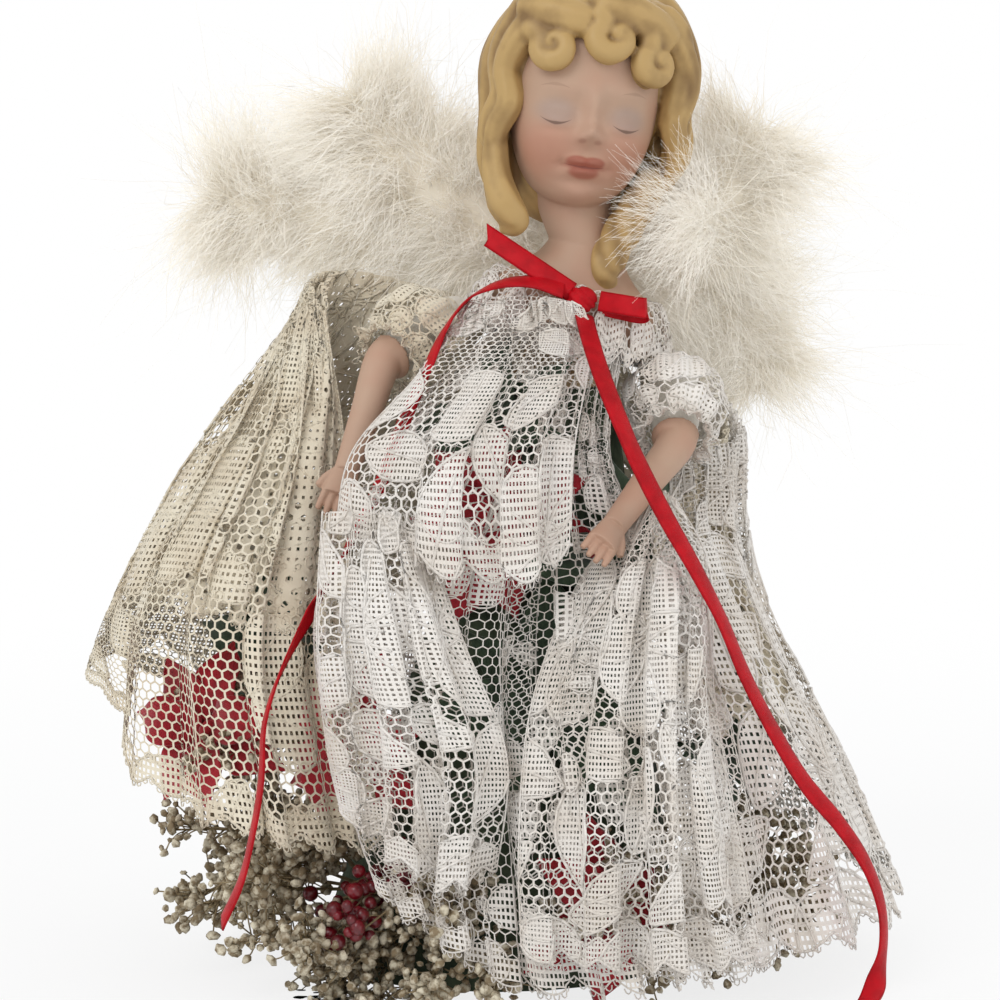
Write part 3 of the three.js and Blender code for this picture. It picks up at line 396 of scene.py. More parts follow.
class Graph:
    """The node graph of one material, with its Principled shader, or of a world."""

    def __init__(self, name: str, world: bool = False) -> None:
        """Starts an empty world, or a material with a shader and its output."""
        self.material = (bpy.data.worlds if world else bpy.data.materials).new(name)
        self.material.use_nodes = True
        self.tree = self.material.node_tree
        self.tree.nodes.clear()
        if not world:
            self.shader = self.add("BsdfPrincipled")
            self.output = self.add("OutputMaterial", {}, {"Surface": self.shader["BSDF"]})

    def add(self, kind: str, settings: dict | None = None, inputs: dict | None = None) -> Outlets:
        """Adds a node.

        Args:
            kind: Node type, after the word ShaderNode.
            settings: Attributes of the node.
            inputs: Values or links by socket name or number.

        Returns:
            The node's outputs.
        """
        node = self.tree.nodes.new("ShaderNode" + kind)
        for key, value in (settings or {}).items():
            setattr(node, key, value)
        for key, value in (inputs or {}).items():
            self.feed(node.inputs[key], value)
        return Outlets(self, node)

    def feed(self, socket: bpy.types.NodeSocket, value: Value | float | tuple) -> None:
        """Links a value to a socket or sets its number or colour."""
        if isinstance(value, Value):
            self.tree.links.new(value.socket, socket)
        elif isinstance(value, tuple) and socket.type == "RGBA":
            socket.default_value = (*value, 1)
        else:
            socket.default_value = value

    def set(self, **inputs: Value | float | tuple) -> None:
        """Sets the shader's inputs; an underscore in a name stands for a space."""
        for key, value in inputs.items():
            self.feed(self.shader.node.inputs[key.replace("_", " ")], value)

    def mix(self, factor: Value | float, first: Value | tuple, second: Value | tuple) -> Value:
        """Blend of two colours."""
        return self.add("Mix", {"data_type": "RGBA"}, {0: factor, 6: first, 7: second})[2]

    def place(self) -> Value:
        """Object coordinates, in metres."""
        return self.add("TexCoord")["Object"]

    def tone(self) -> Value:
        """The value that the mesh keeps at its points."""
        return self.add("Attribute", {"attribute_name": "tone"})["Fac"]

    def noise(self, scale: float, detail: float = 2) -> Value:
        """Noise of about one blob per 1/scale metres."""
        inputs = {"Vector": self.place(), "Scale": scale, "Detail": detail}
        return self.add("TexNoise", {}, inputs)[0]

    def split(self, vector: Value) -> tuple[Value, Value, Value]:
        """The three numbers of a vector."""
        parts = self.add("SeparateXYZ", {}, {0: vector})
        return parts[0], parts[1], parts[2]

    def bump(self, height: Value, distance: float, strength: float = 1) -> None:
        """Feeds the shader's normal from a height of the given depth in metres."""
        inputs = {"Height": height, "Distance": distance, "Strength": strength}
        self.set(Normal=self.add("Bump", {}, inputs)[0])


@dataclass(frozen=True)
class Finish:
    """A finish of two colours that makes its material once."""

    name: str
    colour: Triple
    deep: Triple
    _made: ClassVar[dict[str, bpy.types.Material]] = {}

    def material(self) -> bpy.types.Material:
        """The material, made on the first call."""
        key = repr(self)
        if key not in Finish._made:
            graph = Graph(self.name)
            self.paint(graph)
            Finish._made[key] = graph.material
        return Finish._made[key]

    def paint(self, graph: Graph) -> None:
        """Sets the shader of a new material."""
        raise NotImplementedError


@dataclass(frozen=True)
class LaceThread(Finish):
    """Matt cotton thread with a faint twist."""

    def paint(self, graph: Graph) -> None:
        """Thread colour varied by noise, with fibre bumps."""
        graph.set(Base_Color=graph.mix(graph.noise(90, 3).ramp(0.35, 0.7), self.colour, self.deep))
        graph.set(Roughness=0.85, Sheen_Weight=0.25, Specular_IOR_Level=0.25)
        graph.bump(graph.noise(4200, 2), 0.00008, 0.6)


@dataclass(frozen=True)
class Down(Finish):
    """Marabou down: cream at the quill, paler at the tips."""

    def paint(self, graph: Graph) -> None:
        """Colour from root to tip, with patches by noise, and a faint warm painted glow that stands in for
        light through the down.
        """
        patch = graph.noise(160, 2)
        factor = (graph.tone() * 0.7 + patch * 0.5).ramp(0.1, 0.8)
        graph.set(Base_Color=graph.mix(factor, self.colour, self.deep))
        graph.set(Roughness=0.8, Sheen_Weight=0.7, Specular_IOR_Level=0.2)
        # Painted light: a faint warm glow that brightens the down as if lit through.
        graph.set(Emission_Color=(1, 0.95, 0.86), Emission_Strength=0.06)


@dataclass(frozen=True)
class Satin(Finish):
    """Woven satin ribbon: fine ribs across it and a firmer edge."""

    ribs: float

    def paint(self, graph: Graph) -> None:
        """Ribs along the ribbon's own chart, colour by noise."""
        chart = graph.add("UVMap", {"uv_map": "chart"})["UV"]
        across, along, _ = graph.split(chart)
        rib = (along * (self.ribs * FULL)).sine()
        edge = abs(across - 0.5).ramp(0.40, 0.47)
        cloud = graph.noise(350, 3)
        graph.set(Base_Color=graph.mix(cloud.ramp(0.3, 0.75) * 0.6 + edge * 0.3, self.colour, self.deep))
        graph.set(Roughness=0.34 + cloud * 0.14, Specular_IOR_Level=0.15)
        graph.bump(rib * 0.35 + graph.noise(2600, 2) * 0.5 + edge, 0.00006, 0.5)


@dataclass(frozen=True)
class Cloth(Finish):
    """Matt woven fabric, as of padding, petals or leaves; tone darkens it."""

    weave: float
    roughness: float = 0.8

    def paint(self, graph: Graph) -> None:
        """Colour by noise and tone, with a weave of two crossed waves."""
        x, y, z = graph.split(graph.place())
        threads = ((x + z) * self.weave).sine() * ((y + z * 0.7) * self.weave).sine()
        factor = (graph.noise(220, 3).ramp(0.3, 0.75) * 0.5 + graph.tone()).least(1)
        graph.set(Base_Color=graph.mix(factor, self.colour, self.deep))
        graph.set(Roughness=self.roughness, Sheen_Weight=0.35, Specular_IOR_Level=0.3)
        graph.bump(threads * 0.5 + graph.noise(1500, 2), 0.00008, 0.6)


@dataclass(frozen=True)
class Grained(Finish):
    """Plain material with grain: dried buds, card, turned wood, drawn wire or glossy berries."""

    scale: float
    roughness: float
    metallic: float = 0
    coat: float = 0
    depth: float = 0.0001

    def paint(self, graph: Graph) -> None:
        """Colour and height by noise, darker where tone is high: at random per dried head, and as painted
        shade in the moulded hair's hollows.
        """
        grain = graph.noise(self.scale, 4)
        factor = (grain.ramp(0.32, 0.72) + graph.tone()).least(1)
        graph.set(Base_Color=graph.mix(factor, self.colour, self.deep))
        graph.set(Roughness=self.roughness + grain * 0.1, Metallic=self.metallic, Coat_Weight=self.coat)
        graph.bump(grain, self.depth, 0.7)


@dataclass(frozen=True)
class PaintedBisque(Finish):
    """Unglazed bisque; the face has painted brows, lids, lashes, cheeks and lips."""

    face: bool = False

    def paint(self, graph: Graph) -> None:
        """Skin by noise; masks are soft ovals and thin arcs in the face's own coordinates."""
        colour = graph.mix(graph.noise(120, 2).ramp(0.3, 0.75) * 0.35, self.colour, self.deep)
        if self.face:
            colour = self.features(graph, colour)
        grain = graph.noise(3200, 3)
        graph.set(Base_Color=colour, Roughness=0.5 + grain * 0.12, Specular_IOR_Level=0.4)
        graph.bump(grain, 0.00002, 0.4)

    def features(self, graph: Graph, colour: Value) -> Value:
        """The painted face over the skin colour."""
        settings = {"vector_type": "TEXTURE"}
        roll = {"Rotation": (0, radians(FIGURE.head_roll), 0)}
        inputs = {0: graph.place(), "Location": tuple(v * MM for v in FIGURE.head_centre), **roll}
        level = graph.add("Mapping", settings, inputs)[0]
        yaw = {"Rotation": (0, 0, radians(FIGURE.head_yaw))}
        own = graph.add("Mapping", settings, {0: level, **yaw})[0]
        x, y, z = (part * 1000 for part in graph.split(own))
        front = (-y).ramp(2, 7)

        def oval(cx: float, cz: float, half_x: float, half_z: float, soft: float) -> Value:
            """1 inside an oval, fading over soft shares of its size."""
            reach = (((x - cx) / half_x) ** 2 + ((z - cz) / half_z) ** 2) ** 0.5
            return (1 - reach.ramp(1 - soft, 1 + soft)) * front

        def arc(cx: float, cz: float, half: float, bow: float, width: float) -> Value:
            """1 on a thin arc through (cx, cz) that rises by bow at its ends and tapers there."""
            share = (x - cx) / half
            miss = abs(z - cz - share * share * bow)
            return (1 - (miss / ((1.02 - abs(share)).most(0.001) * width)).ramp(0.5, 1.3)) * front

        spec = FacePaint()
        pairs = (
            (oval, spec.cheek_x, spec.cheek_z, 5, 4.4, 0.75, self.deep, 0.75),
            (oval, spec.eye_x, spec.eye_z + 1.9, 3, 2.1, 0.5, spec.lid, 0.6),
            (arc, spec.eye_x, spec.eye_z, 2.5, 0.85, 0.3, spec.lash, 0.7),
            (arc, spec.brow_x, spec.brow_z, 2.4, -0.5, 0.3, spec.brow, 0.35),
            (oval, 1.3, spec.nose_z - 1.3, 0.6, 0.35, 0.6, spec.nostril, 0.45),
            (oval, 1.35, spec.mouth_z + 0.75, 1.9, 0.95, 0.25, spec.lip, 0.85),
        )
        middle = (
            (oval, 0, spec.mouth_z - 0.9, 2.5, 1.15, 0.25, spec.lip, 0.85),
            (oval, 0, spec.mouth_z, 3.3, 0.6, 0.4, spec.lip, 0.7),
            (arc, 0, spec.mouth_z - 0.1, 3.4, 0.3, 0.24, spec.lip_line, 0.75),
            (oval, 0, spec.chin_z, 3.6, 2.6, 0.8, self.deep, 0.35),
        )
        for side, marks in ((-1, pairs), (1, pairs), (1, middle)):
            for mark, cx, cz, across, tall, soft, paint, strength in marks:
                colour = graph.mix(mark(side * cx, cz, across, tall, soft) * strength, colour, paint)
        return colour


@dataclass(frozen=True)
class FacePaint:
    """Where the face's features lie, in millimetres from the head's middle, and their paints."""

    eye_x: float = 5.9
    eye_z: float = -5.2
    brow_x: float = 6.6
    brow_z: float = 1.1
    nose_z: float = -6.3
    mouth_z: float = -11.7
    chin_z: float = -16
    cheek_x: float = 7.4
    cheek_z: float = -9.8
    lid: Triple = (0.34, 0.255, 0.22)
    lash: Triple = (0.09, 0.045, 0.03)
    brow: Triple = (0.28, 0.17, 0.11)
    nostril: Triple = (0.30, 0.14, 0.10)
    lip: Triple = (0.33, 0.095, 0.06)
    lip_line: Triple = (0.20, 0.055, 0.04)


WHITE_LACE = LaceThread("white lace thread", (0.83, 0.79, 0.74), (0.73, 0.67, 0.60))
CREAM_LACE = LaceThread("cream lace thread", (0.77, 0.70, 0.56), (0.67, 0.58, 0.44))
PLUME = Down("marabou down", (0.78, 0.71, 0.58), (0.94, 0.90, 0.82))
RED_SATIN = Satin("red satin ribbon", (0.56, 0.004, 0.012), (0.30, 0.002, 0.006), 60)
PADDED_COTTON = Cloth("padded cotton", (0.78, 0.74, 0.66), (0.62, 0.57, 0.48), 9000)
RED_PETAL = Cloth("red silk petal", (0.50, 0.008, 0.022), (0.20, 0.002, 0.008), 14000, 0.6)
GREEN_LEAF = Cloth("dark green leaf", (0.045, 0.085, 0.04), (0.015, 0.03, 0.016), 14000, 0.65)
DRIED_BUD = Grained("dried bud", (0.86, 0.79, 0.62), (0.24, 0.18, 0.105), 900, 0.85, depth=0.0003)
DRIED_STEM = Grained("dried stem", (0.36, 0.28, 0.16), (0.20, 0.14, 0.07), 700, 0.8)
BERRY_RED = Grained("lacquered berry", (0.24, 0.004, 0.014), (0.10, 0.002, 0.006), 500, 0.26, coat=0.35)
# Painted shade: the card cone is near-black green so the inside behind the lace reads as dark shadow.
SHADE_DARK_CARD = Grained("card painted dark as shade", (0.06, 0.085, 0.045), (0.025, 0.04, 0.02), 300, 0.8)
TURNED_WOOD = Grained("turned wood", (0.62, 0.46, 0.28), (0.42, 0.28, 0.15), 250, 0.6)
DRAWN_WIRE = Grained("drawn steel wire", (0.62, 0.63, 0.65), (0.45, 0.46, 0.48), 600, 0.3, metallic=1)
BISQUE = PaintedBisque("bisque skin", (0.48, 0.318, 0.225), (0.46, 0.215, 0.142))
BISQUE_FACE = PaintedBisque("painted bisque face", BISQUE.colour, BISQUE.deep, face=True)
# Painted shade: this finish darkens the hair's grooves by how hollow each spot is.
HAIR_PAINT = Grained("painted moulded hair", (0.47, 0.305, 0.115), (0.22, 0.125, 0.042), 90, 0.5, depth=3e-5)


# The figure's frame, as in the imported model


@dataclass(frozen=True)
class Figure:
    """Sizes that several sub-assemblies share."""

    cone_height: float = 97
    cone_foot: float = 31
    cone_mouth: float = 9
    cone_lean: float = 11
    torso_roll: float = 14
    shoulder_reach: float = 19.4
    plate_half_width: float = 15
    plate_depth_share: float = 0.72
    plate_lift: float = 1.8
    collar_half_width: float = 12.4
    collar_rise: float = 6.6
    skirt: Triple = (68, 58, 115)
    head_centre: Triple = (14.6, -2.8, 145.5)
    head_roll: float = 7.5
    head_yaw: float = 7.5

    @property
    def torso(self) -> Array:
        """Middle of the arm wire."""
        return array([self.cone_lean, 0, self.cone_height + 7])

    def on_torso(self, points: Array) -> Array:
        """Points of the torso's own frame, in the row frame."""
        return turned(np.asarray(points, float), self.torso_roll) + self.torso

    def on_head(self, points: Array) -> Array:
        """Points of the head's own frame, which is turned about +Z and then rolled, in the row frame."""
        c, s = math.cos(radians(self.head_yaw)), math.sin(radians(self.head_yaw))
        turned_points = points @ array([[c, s, 0], [-s, c, 0], [0, 0, 1]])
        return turned(turned_points, self.head_roll) + array(self.head_centre)

    def shoulder(self, side: int) -> Array:
        """The arm's middle on the wire, at the left for 1 and at the right for -1."""
        return self.on_torso([side * self.shoulder_reach, 0, 0])

    def at_neck(self, bearing: float) -> Array:
        """Point of a panel's top edge against the shoulder plate, at a bearing from the front."""
        angle = radians(bearing)
        clear = 0.45 if 120 < abs(bearing) < 140 else 0.75
        reach = self.plate_half_width + clear
        depth = self.plate_half_width * self.plate_depth_share + clear
        return self.on_torso([reach * math.sin(angle), -depth * math.cos(angle), self.plate_lift + 1.6])

    def guide(self, entry: float | list[float]) -> Array:
        """Guide point of a lace panel, from thousandths of the skirt's sizes or a bearing at the neck."""
        if isinstance(entry, list):
            return array(entry) / 1000 * array(self.skirt)
        return self.at_neck(entry)

    def on_cone(self, azimuth: float, height: float) -> tuple[Array, Array]:
        """Axes (around, up, outward, as rows) and seat of a place on the cone's wall."""
        angle = radians(azimuth)
        slope = atan2(self.cone_foot - self.cone_mouth, self.cone_height)
        flat = array([math.sin(angle), -math.cos(angle), 0])
        outward = flat * math.cos(slope) + array([0, 0, math.sin(slope)])
        around = array([math.cos(angle), math.sin(angle), 0])
        radius = self.cone_foot + (self.cone_mouth - self.cone_foot) * height / self.cone_height
        seat = flat * radius + array([self.cone_lean * height / self.cone_height, 0, height])
        return stack([around, cross(outward, around), outward]), seat + outward * 0.3


FIGURE = Figure()


@dataclass(frozen=True)
class Studio:
    """Camera at the photograph's angle (in millimetres), and a floor, lamps and a white room (in metres)."""

    aim: Triple = (0.5, 0, 77.6)
    distance: float = 550
    elevation: float = 5
    seen_width: float = 170
    sensor: float = 36
    floor_half: float = 4
    lamp_aim: float = 0.08

    def camera(self) -> None:
        """Makes the camera and gives it to the scene."""
        data = bpy.data.cameras.new("camera")
        data.sensor_width = self.sensor
        data.lens = self.sensor * self.distance / self.seen_width
        data.clip_start = 0.01
        eye = linked("camera", data)
        angle = radians(self.elevation)
        eye.location = (array(self.aim) + self.distance * array([0, -math.cos(angle), math.sin(angle)])) * MM
        eye.rotation_euler = (radians(90 - self.elevation), 0, 0)
        bpy.context.scene.camera = eye

    def lamps(self) -> None:
        """Key lamp at the upper left, fill lamp at the right and a weak one behind."""
        for name, place, side, power in (
            ("key lamp", (-0.75, -1, 1.05), 0.8, 7.4),
            ("fill lamp", (1.1, -0.8, 0.45), 0.9, 2.6),
            ("back lamp", (0.3, 1.2, 0.9), 0.9, 3),
        ):
            light = bpy.data.lights.new(name, "AREA")
            light.size = side
            light.energy = power
            lamp = linked(name, light)
            lamp.location = place
            x, y, z = place
            lamp.rotation_euler = (atan2(hypot(x, y), z - self.lamp_aim), 0, atan2(y, x) + math.pi / 2)

    def room(self) -> None:
        """White world for camera and transmission rays; soft grey light for the rest."""
        graph = Graph("room", world=True)
        bpy.context.scene.world = graph.material
        path = graph.add("LightPath")
        seen = path["Is Camera Ray"].most(path["Is Transmission Ray"])
        soft, white = (
            graph.add("Background", {}, {"Color": colour, "Strength": strength})[0]
            for colour, strength in (((0.98, 0.99, 1), 0.8), ((1, 1, 1), 1))
        )
        mix = graph.add("MixShader", {}, {0: seen, 1: soft, 2: white})
        graph.add("OutputWorld", {}, {0: mix[0]})

    def floor(self) -> None:
        """Pale floor that stays near white for the camera and keeps the shadow."""
        half = self.floor_half
        mesh = bpy.data.meshes.new("floor")
        corners = [(-half, -half, 0), (half, -half, 0), (half, half, 0), (-half, half, 0)]
        mesh.from_pydata(corners, [], [(0, 1, 2, 3)])
        piece = linked("floor", mesh)
        graph = Graph("pale floor")
        graph.set(Base_Color=(0.86, 0.86, 0.86), Roughness=0.9)
        glow = graph.add("Emission", {}, {"Color": (1, 1, 1), "Strength": 1})
        path = graph.add("LightPath")
        x, y, _ = graph.split(graph.place())
        far = ((x * x + y * y) ** 0.5).ramp(0.12, 0.5) * 0.2
        seen = path["Is Camera Ray"].most(path["Is Glossy Ray"]) * (far + 0.8)
        blend = graph.add("MixShader", {}, {0: seen, 1: graph.shader["BSDF"], 2: glow[0]})
        graph.feed(graph.output.node.inputs["Surface"], blend[0])
        mesh.materials.append(graph.material)


# Ribbon


@dataclass
class Ribbon:
    """Narrow satin ribbon: knot, cut end, flattened loop and two long tails."""

    width: float = 3.4
    thickness: float = 0.3
    knot_radius: float = 2.6
    knot: Triple = (14, -12.43, 111.9)
    cut_reach: Triple = (-13.2, -1.4, 8.8)
    loop_reach: Triple = (7.8, -0.6, -1.2)
    loop_fold: float = 1.5
    left_route: tuple[Triple, ...] = (
        (14.4, -13.4, 109.6), (15.3, -19.4, 105.8), (16.8, -26, 100.8), (19.5, -33, 93.8), (22.7, -38.2, 86.4),
        (26.8, -39.8, 78.4), (31.6, -40, 70), (35.8, -39, 62), (39.6, -39.6, 53), (44, -42, 44.5),
        (48.8, -43.2, 36.6), (54.6, -43, 29.6), (59, -42, 22.8), (61.4, -42, 15.5), (61, -44.5, 8.4),
        (58, -49, 2.8), (52.4, -54.6, 0.8), (45.6, -58.6, 0.6),
    )
    right_route: tuple[Triple, ...] = (
        (11, -13.4, 113.6), (6.6, -14.4, 115), (1, -14.6, 114.8), (-4.4, -15.8, 112.4), (-8.6, -18.2, 107.4),
        (-11.6, -20.4, 100.8), (-15.2, -24.4, 92.6), (-18.8, -29, 83), (-24, -36.6, 73), (-29.4, -42, 63.5),
        (-33.6, -46.4, 55.4), (-36.2, -51, 47.4), (-36.6, -54.2, 38.6), (-37.8, -56, 31), (-39.6, -56.5, 23.6),
        (-42.4, -56.8, 17.4),
    )

    def band(self, centres: Array, facings: Array, slant: float = 0, cup: float = 0.12) -> Shape:
        """Flat band: a rounded section, cupped by a share of its width, carried along the centres.

        Args:
            centres: (K, 3) points of the middle line.
            facings: (K, 3) directions that the flat side faces.
            slant: Length by which one corner of the far end runs ahead of the middle.
            cup: Depth of the hollow across the band, as a share of the width.

        Returns:
            The closed band, with a chart whose second number is the length in ribbon widths.
        """
        along = unit(gradient(centres, axis=0))
        facings = squared(facings, along)
        side = cross(facings, along)
        across = concatenate([linspace(-1, 1, 9), linspace(1, -1, 9)])
        face = concatenate([np.ones(9), -np.ones(9)])
        rise = face * self.thickness / 2 * sqrt(maximum(1.02 - across**2, 0)) ** 0.5
        selvage = self.thickness * 0.25 * face * (abs(abs(across) - 0.9) < 0.1)
        rise = rise + selvage - cup * self.width / 2 * across**2
        ahead = zeros(len(centres))
        ahead[-1] = slant
        rings = (
            centres[:, None]
            + side[:, None] * (across * self.width / 2)[None, :, None]
            + facings[:, None] * rise[None, :, None]
            + along[:, None] * (ahead[:, None] * across[None])[:, :, None]
        )
        shape = skin(rings)
        run = concatenate([[0], cumsum(np.linalg.norm(diff(centres, axis=0), axis=1))]) / self.width
        places = stack([np.tile(across / 2 + 0.5, len(centres)), np.repeat(run, len(across))], axis=1)
        shape.chart = concatenate([places, [[0.5, 0], [0.5, run[-1]]]])
        return shape

    def tail(self, side: str, route: tuple[Triple, ...], leans: list[float], steps: int = 260) -> None:
        """One tail as a limp flat cord along its route; leans are its turns about it, at even steps."""
        name = f"{side} ribbon tail"
        centres = follow(array(route, float), shares(steps))
        upright = smooth(self.width / 2, 3 * self.width, centres[:, 2])[:, None]
        outward = unit(stack([centres[:, 0] - FIGURE.cone_lean, centres[:, 1], 0 * centres[:, 0]], axis=1))
        along = unit(gradient(centres, axis=0))
        facings = squared(outward * upright + UP * (1 - upright), along)
        angle = np.radians(interp(shares(steps), shares(len(leans)), leans))[:, None] * upright
        facings = facings * cos(angle) + cross(along, facings) * sin(angle)
        piece = make_object(name, self.band(centres, facings, slant=1), RED_SATIN)
        settle(piece, f"ribbon_{side}_tail")
        length = float(np.linalg.norm(diff(centres, axis=0), axis=1).sum())
        LOG.info("%s is %.0f mm long", name, length)

    def bow(self) -> None:
        """Knot, cut end and flattened loop."""
        knot = array(self.knot)
        side = self.knot_radius + 0.3
        steps = shares(40)
        start = knot + array([-side * 0.82, 0, side * 0.62])
        end = start + array(self.cut_reach)
        middle = (start + end) / 2 + FRONT * 0.5
        centres = follow(array([start + (start - end) * 0.06, middle, end]), steps)
        facing = broadcast_to(FRONT + array([0.1, 0, 0.25]), centres.shape)
        shape = self.band(centres, facing, slant=-1.2)
        settle(make_object("ribbon cut end", shape, RED_SATIN), "ribbon_cut_end")
        near = knot + array([side, -0.4, -0.2])
        reach, fold = array(self.loop_reach), array([0, self.loop_fold, 0])
        down = array([0, 0, -0.9])
        route = array([
            near, near + reach * 0.5 + FRONT * 0.8, near + reach * 0.94 + FRONT * 0.3,
            near + reach + fold / 2, near + fold + reach * 0.94 + down - FRONT * 0.3,
            near + fold + reach * 0.5 + down - FRONT * 0.4,
            near + fold + down * 0.6,
        ])
        facings = array([
            [0, -1, 0.1], [0, -1, 0.2], [0.5, -0.8, 0.1], [1, 0, 0], [0.5, 0.8, 0], [0, 1, 0], [0, 1, 0],
        ], float)
        steps = shares(90)
        shape = self.band(follow(route, steps), follow(facings, steps), cup=0.05)
        settle(make_object("ribbon loop", shape, RED_SATIN), "ribbon_loop")
        settle(make_object("ribbon knot", self.knot_shape(), RED_SATIN), "ribbon_knot")

    def knot_shape(self) -> Shape:
        """Knot: an oval bulge whose radius dips in three creases that fan from its upper left."""
        ray = globe(48, 28, 0.04)[2] * [1, -1, -1]
        slant = ray[..., 0] * 0.75 + ray[..., 2] * 0.66
        crease = sum(exp(-(((slant - c) / 0.1) ** 2)) for c in (-0.55, 0, 0.5))
        radius = self.knot_radius * (1 - 0.12 * crease)
        points = ray * radius[..., None] * array([1, 0.62, 0.86]) + array(self.knot)
        return skin(points[::-1])


# Lace


@dataclass(frozen=True)
class LacePattern:
    """One lace worked out flat: six-sided net, clothwork figures, outline cords and a scalloped hem."""

    mesh: float = 1.75
    mesh_thread: float = 0.15
    weave: tuple[float, float] = (0.7, 1)
    weave_hole: float = 0.42
    cord: float = 0.28
    repeat: tuple[float, float] = (51.6, 56.4)
    shift: tuple[float, float] = (0, 0)
    scallop: float = 9
    scallop_depth: float = 2.4
    hem_band: float = 3.6
    figure_scale: float = 1
    bare: tuple[float, ...] = ()

    def figures(self) -> Array:
        """Rows (x, y, half length, half width, turn, taper): petals and leaves of one repeat."""
        rows = []
        for x, y, size, count, turn in ((12, 13, 12, 5, 0.3), (33.5, 36.5, 11, 5, 1.1)):
            for k in range(count):
                angle = turn + k * FULL / count
                reach = size * (0.54 + 0.05 * math.sin(3 * k))
                across, down = x + reach * math.cos(angle), y + reach * math.sin(angle)
                rows.append((across, down, size * 0.5, size * 0.45, angle, -0.25))
            rows.append((x, y, size * 0.22, size * 0.22, 0, 0))
        for x, y, length, width, degrees in (
            (29.5, 5.5, 7.6, 3.6, 20), (26.5, 19, 7, 3.4, -40), (39.5, 14.5, 7.4, 3.4, 80),
            (12, 33, 7.4, 3.5, -65), (2.5, 27.5, 6.2, 3, 15), (20, 44.5, 7, 3.2, 150),
            (5, 43.5, 6, 2.9, -25), (20.5, 28, 5.2, 2.5, 60), (43, 24, 5, 2.4, -10),
        ):
            rows.append((x, y, length, width, radians(degrees), 0.3))
        table = array(rows)
        table[:, :4] *= self.repeat[0] / 43
        table[:, 2:4] *= self.figure_scale
        return table

    def laid_out(self, width: float, height: float) -> Array:
        """The figures of every repeat that can touch a cloth of this size."""
        across, down = self.repeat
        tiles = [
            (i * across + self.shift[0], j * down + self.shift[1] + (i % 2) * down / 2)
            for i in range(-2, int(width / across) + 2)
            for j in range(-2, int(height / down) + 2)
        ]
        table = concatenate([self.figures() + array([dx, dy, 0, 0, 0, 0]) for dx, dy in tiles])
        x, y = table[:, 0], table[:, 1]
        near = (x > -8) & (x < width + 8) & (y > -8) & (y < height + 8)
        if self.bare:
            left, right, top, foot = self.bare
            near &= (x < left) | (x > right) | (y < top) | (y > foot)
        return table[near]

    def within(self, spots: Array, table: Array, grow: float) -> Array:
        """Whether each spot lies in a figure grown by a length: an egg-shaped curve about its middle."""
        inside = zeros(len(spots), bool)
        for x, y, length, width, turn, taper in table:
            dx, dy = spots[:, 0] - x, spots[:, 1] - y
            long, wide = max(length + grow, 0.2), max(width + grow, 0.2)
            u = (dx * math.cos(turn) + dy * math.sin(turn)) / long
            v = (-dx * math.sin(turn) + dy * math.cos(turn)) / (wide * (1 - taper * clip(u, -1, 1)))
            inside |= abs(v) < maximum(1 - u * u, 0) ** (0.5 + max(taper, 0))
        return inside

    def hem_line(self, across: Array, height: float) -> Array:
        """Where the scalloped hem lies: the size of a sine of the place across."""
        return height - self.scallop_depth * (1 - abs(sin(np.pi * across / self.scallop)))


class Weight(Enum):
    """The laces of the dress: two weights of figured lace, a plain net and a lining."""

    FINE = LacePattern(weave=(0.6, 0.86), weave_hole=0.5, cord=0.24)
    FACE = LacePattern(weave=(0.88, 1.2), weave_hole=0.5, cord=0.25)
    NET = LacePattern(mesh_thread=0.1, weave_hole=0.55, cord=0.14, figure_scale=0.5)
    LINING = LacePattern(2.45, 0.67, weave=(1.4, 1.8), weave_hole=0.34, cord=0.24)


